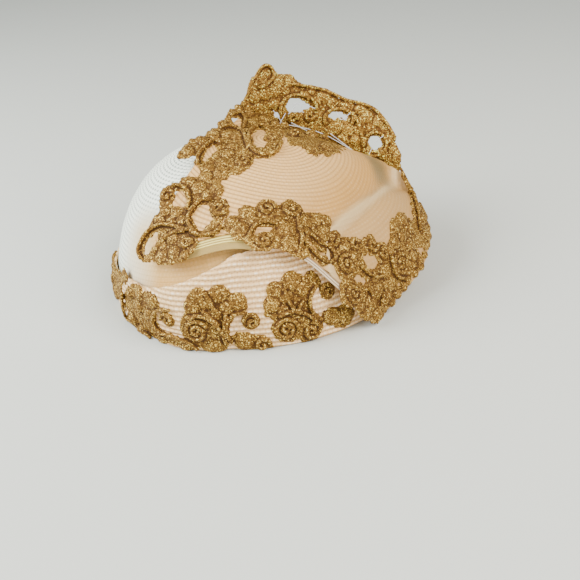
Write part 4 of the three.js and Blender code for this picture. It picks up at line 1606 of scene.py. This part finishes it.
class HAT_OT_ribbons(bpy.types.Operator):
    """Makes the ribbed hem and the cut strip below the upper layer's near edge"""

    bl_idname = "hat.ribbons"
    bl_label = "Hem and strip"

    def execute(self, context):
        look = {"ribs": 6.0, "flat": 0.42, "pale": (1.0, 0.86, 0.28), "deep": (0.33, 0.17, 0.03)}
        self.ribbon("straw_hem", HEM, "hem_straw", "shell_hem", look | {"plain": (0.44, 0.32, 0.11)})
        # The strip's two pale bands are painted highlights, and its deep bands painted shade.
        look = {"ribs": 2.0, "flat": -1.0, "pale": (0.82, 0.66, 0.46), "deep": (0.26, 0.16, 0.08)}
        self.ribbon("cut_strip", STRIP, "strip_straw", "straw_strip", look | {"plain": look["deep"]})
        return {"FINISHED"}

    def ribbon(self, name, part, slot, node, look):
        def rows(points, u, v):
            return u * math.pi, v

        mesh = straw_mesh(name, below_edge(part), RIBBON_CELLS, rows, 0.0)
        new_piece(name, mesh, [node], ribbon_finish(slot, look), part["wall"] * MM)


class HAT_OT_rim_lace(bpy.types.Operator):
    """Makes the lace round the rim"""

    bl_idname = "hat.rim_lace"
    bl_label = "Rim lace"

    def execute(self, context):
        lace = context.scene.hat_lace
        sight = Sight()
        tree = carrier(wrap_point, WRAP_CARRIER_CELLS)
        band = LaceBand(lace)
        draw_lace(band, sight, tree, RIM_LACE)
        band.piece("gold_rim_near", "rim_lace_near")
        band = LaceBand(lace)
        draw_lace(band, sight, tree, PINCH_LACE, lying=STRETCH_LIMIT)
        far_rim_motifs(band, tree)
        band.piece("gold_rim_far", "rim_lace_far", coarse=FAR_COARSE)
        return {"FINISHED"}


class HAT_OT_edge_lace(bpy.types.Operator):
    """Makes the lace along the upper layer's left, near and right edges, and on its crown"""

    bl_idname = "hat.edge_lace"
    bl_label = "Edge lace"

    def execute(self, context):
        lace = context.scene.hat_lace
        sight = Sight()
        tree = carrier(shell_point, SHELL_CARRIER_CELLS)
        for side, drawn in (("left", LEFT_LACE), ("front", FRONT_LACE), ("right", RIGHT_LACE)):
            band = LaceBand(lace)
            draw_lace(band, sight, tree, drawn)
            band.piece("gold_" + side, side + "_lace")
        band = LaceBand(lace)
        draw_lace(band, sight, tree, CROWN_LACE, lying=FILL_REACH)
        band.piece("gold_crown", "crown_lace", "shaded_lace", light=CROWN_PAINTED_SHADE)
        return {"FINISHED"}


class HAT_OT_collar(bpy.types.Operator):
    """Makes the lace that stands behind the crown, and the threads of net in it"""

    bl_idname = "hat.collar"
    bl_label = "Standing lace"

    def execute(self, context):
        lace = context.scene.hat_lace
        sight = Sight()
        tree = carrier(collar_point, COLLAR_CARRIER_CELLS)
        band = LaceBand(lace)
        draw_lace(band, sight, tree, COLLAR_LACE)
        band.piece("gold_collar", "collar_lace", light=COLLAR_PAINTED_LIGHT)
        net = LaceBand(lace)
        place_cords(net, sight, tree, NET_THREADS, NET["radius"], NET["rise"])
        net.pads.free()
        finish = Finish("net_thread")
        colour = finish.blend(finish.speckle(NET_GRAIN), (0.75, 0.76, 0.78), (0.5, 0.52, 0.56))
        finish.surface(base_color=colour, roughness=0.3)
        new_piece("net_threads", applied("net", net.cords), [], finish.material)
        return {"FINISHED"}


class HAT_PT_panel(bpy.types.Panel):
    """Lists the makers of the hat's pieces"""

    bl_idname = "HAT_PT_panel"
    bl_label = "Straw cocktail hat"
    bl_space_type = "VIEW_3D"
    bl_region_type = "UI"
    bl_category = "Hat"

    def draw(self, context):
        for maker in MAKERS:
            self.layout.operator(maker.bl_idname)
        for name in ("hat_straw", "hat_lace", "hat_stage"):
            settings = getattr(context.scene, name)
            box = self.layout.box()
            for key in settings.__annotations__:
                box.prop(settings, key)


SETTINGS = (StrawSettings, LaceSettings, StageSettings)
MAKERS = (
    HAT_OT_stage,
    HAT_OT_cap,
    HAT_OT_wrap,
    HAT_OT_shell,
    HAT_OT_ribbons,
    HAT_OT_rim_lace,
    HAT_OT_edge_lace,
    HAT_OT_collar,
)


def register():
    for made in (*SETTINGS, *MAKERS, HAT_PT_panel):
        bpy.utils.register_class(made)
    bpy.types.Scene.hat_straw = PointerProperty(type=StrawSettings)
    bpy.types.Scene.hat_lace = PointerProperty(type=LaceSettings)
    bpy.types.Scene.hat_stage = PointerProperty(type=StageSettings)


def unregister():
    del bpy.types.Scene.hat_stage
    del bpy.types.Scene.hat_lace
    del bpy.types.Scene.hat_straw
    for made in reversed((*SETTINGS, *MAKERS, HAT_PT_panel)):
        bpy.utils.unregister_class(made)


def main():
    register()
    for maker in MAKERS:
        getattr(bpy.ops.hat, maker.bl_idname.split(".")[1])()


if __name__ == "__main__":
    main()
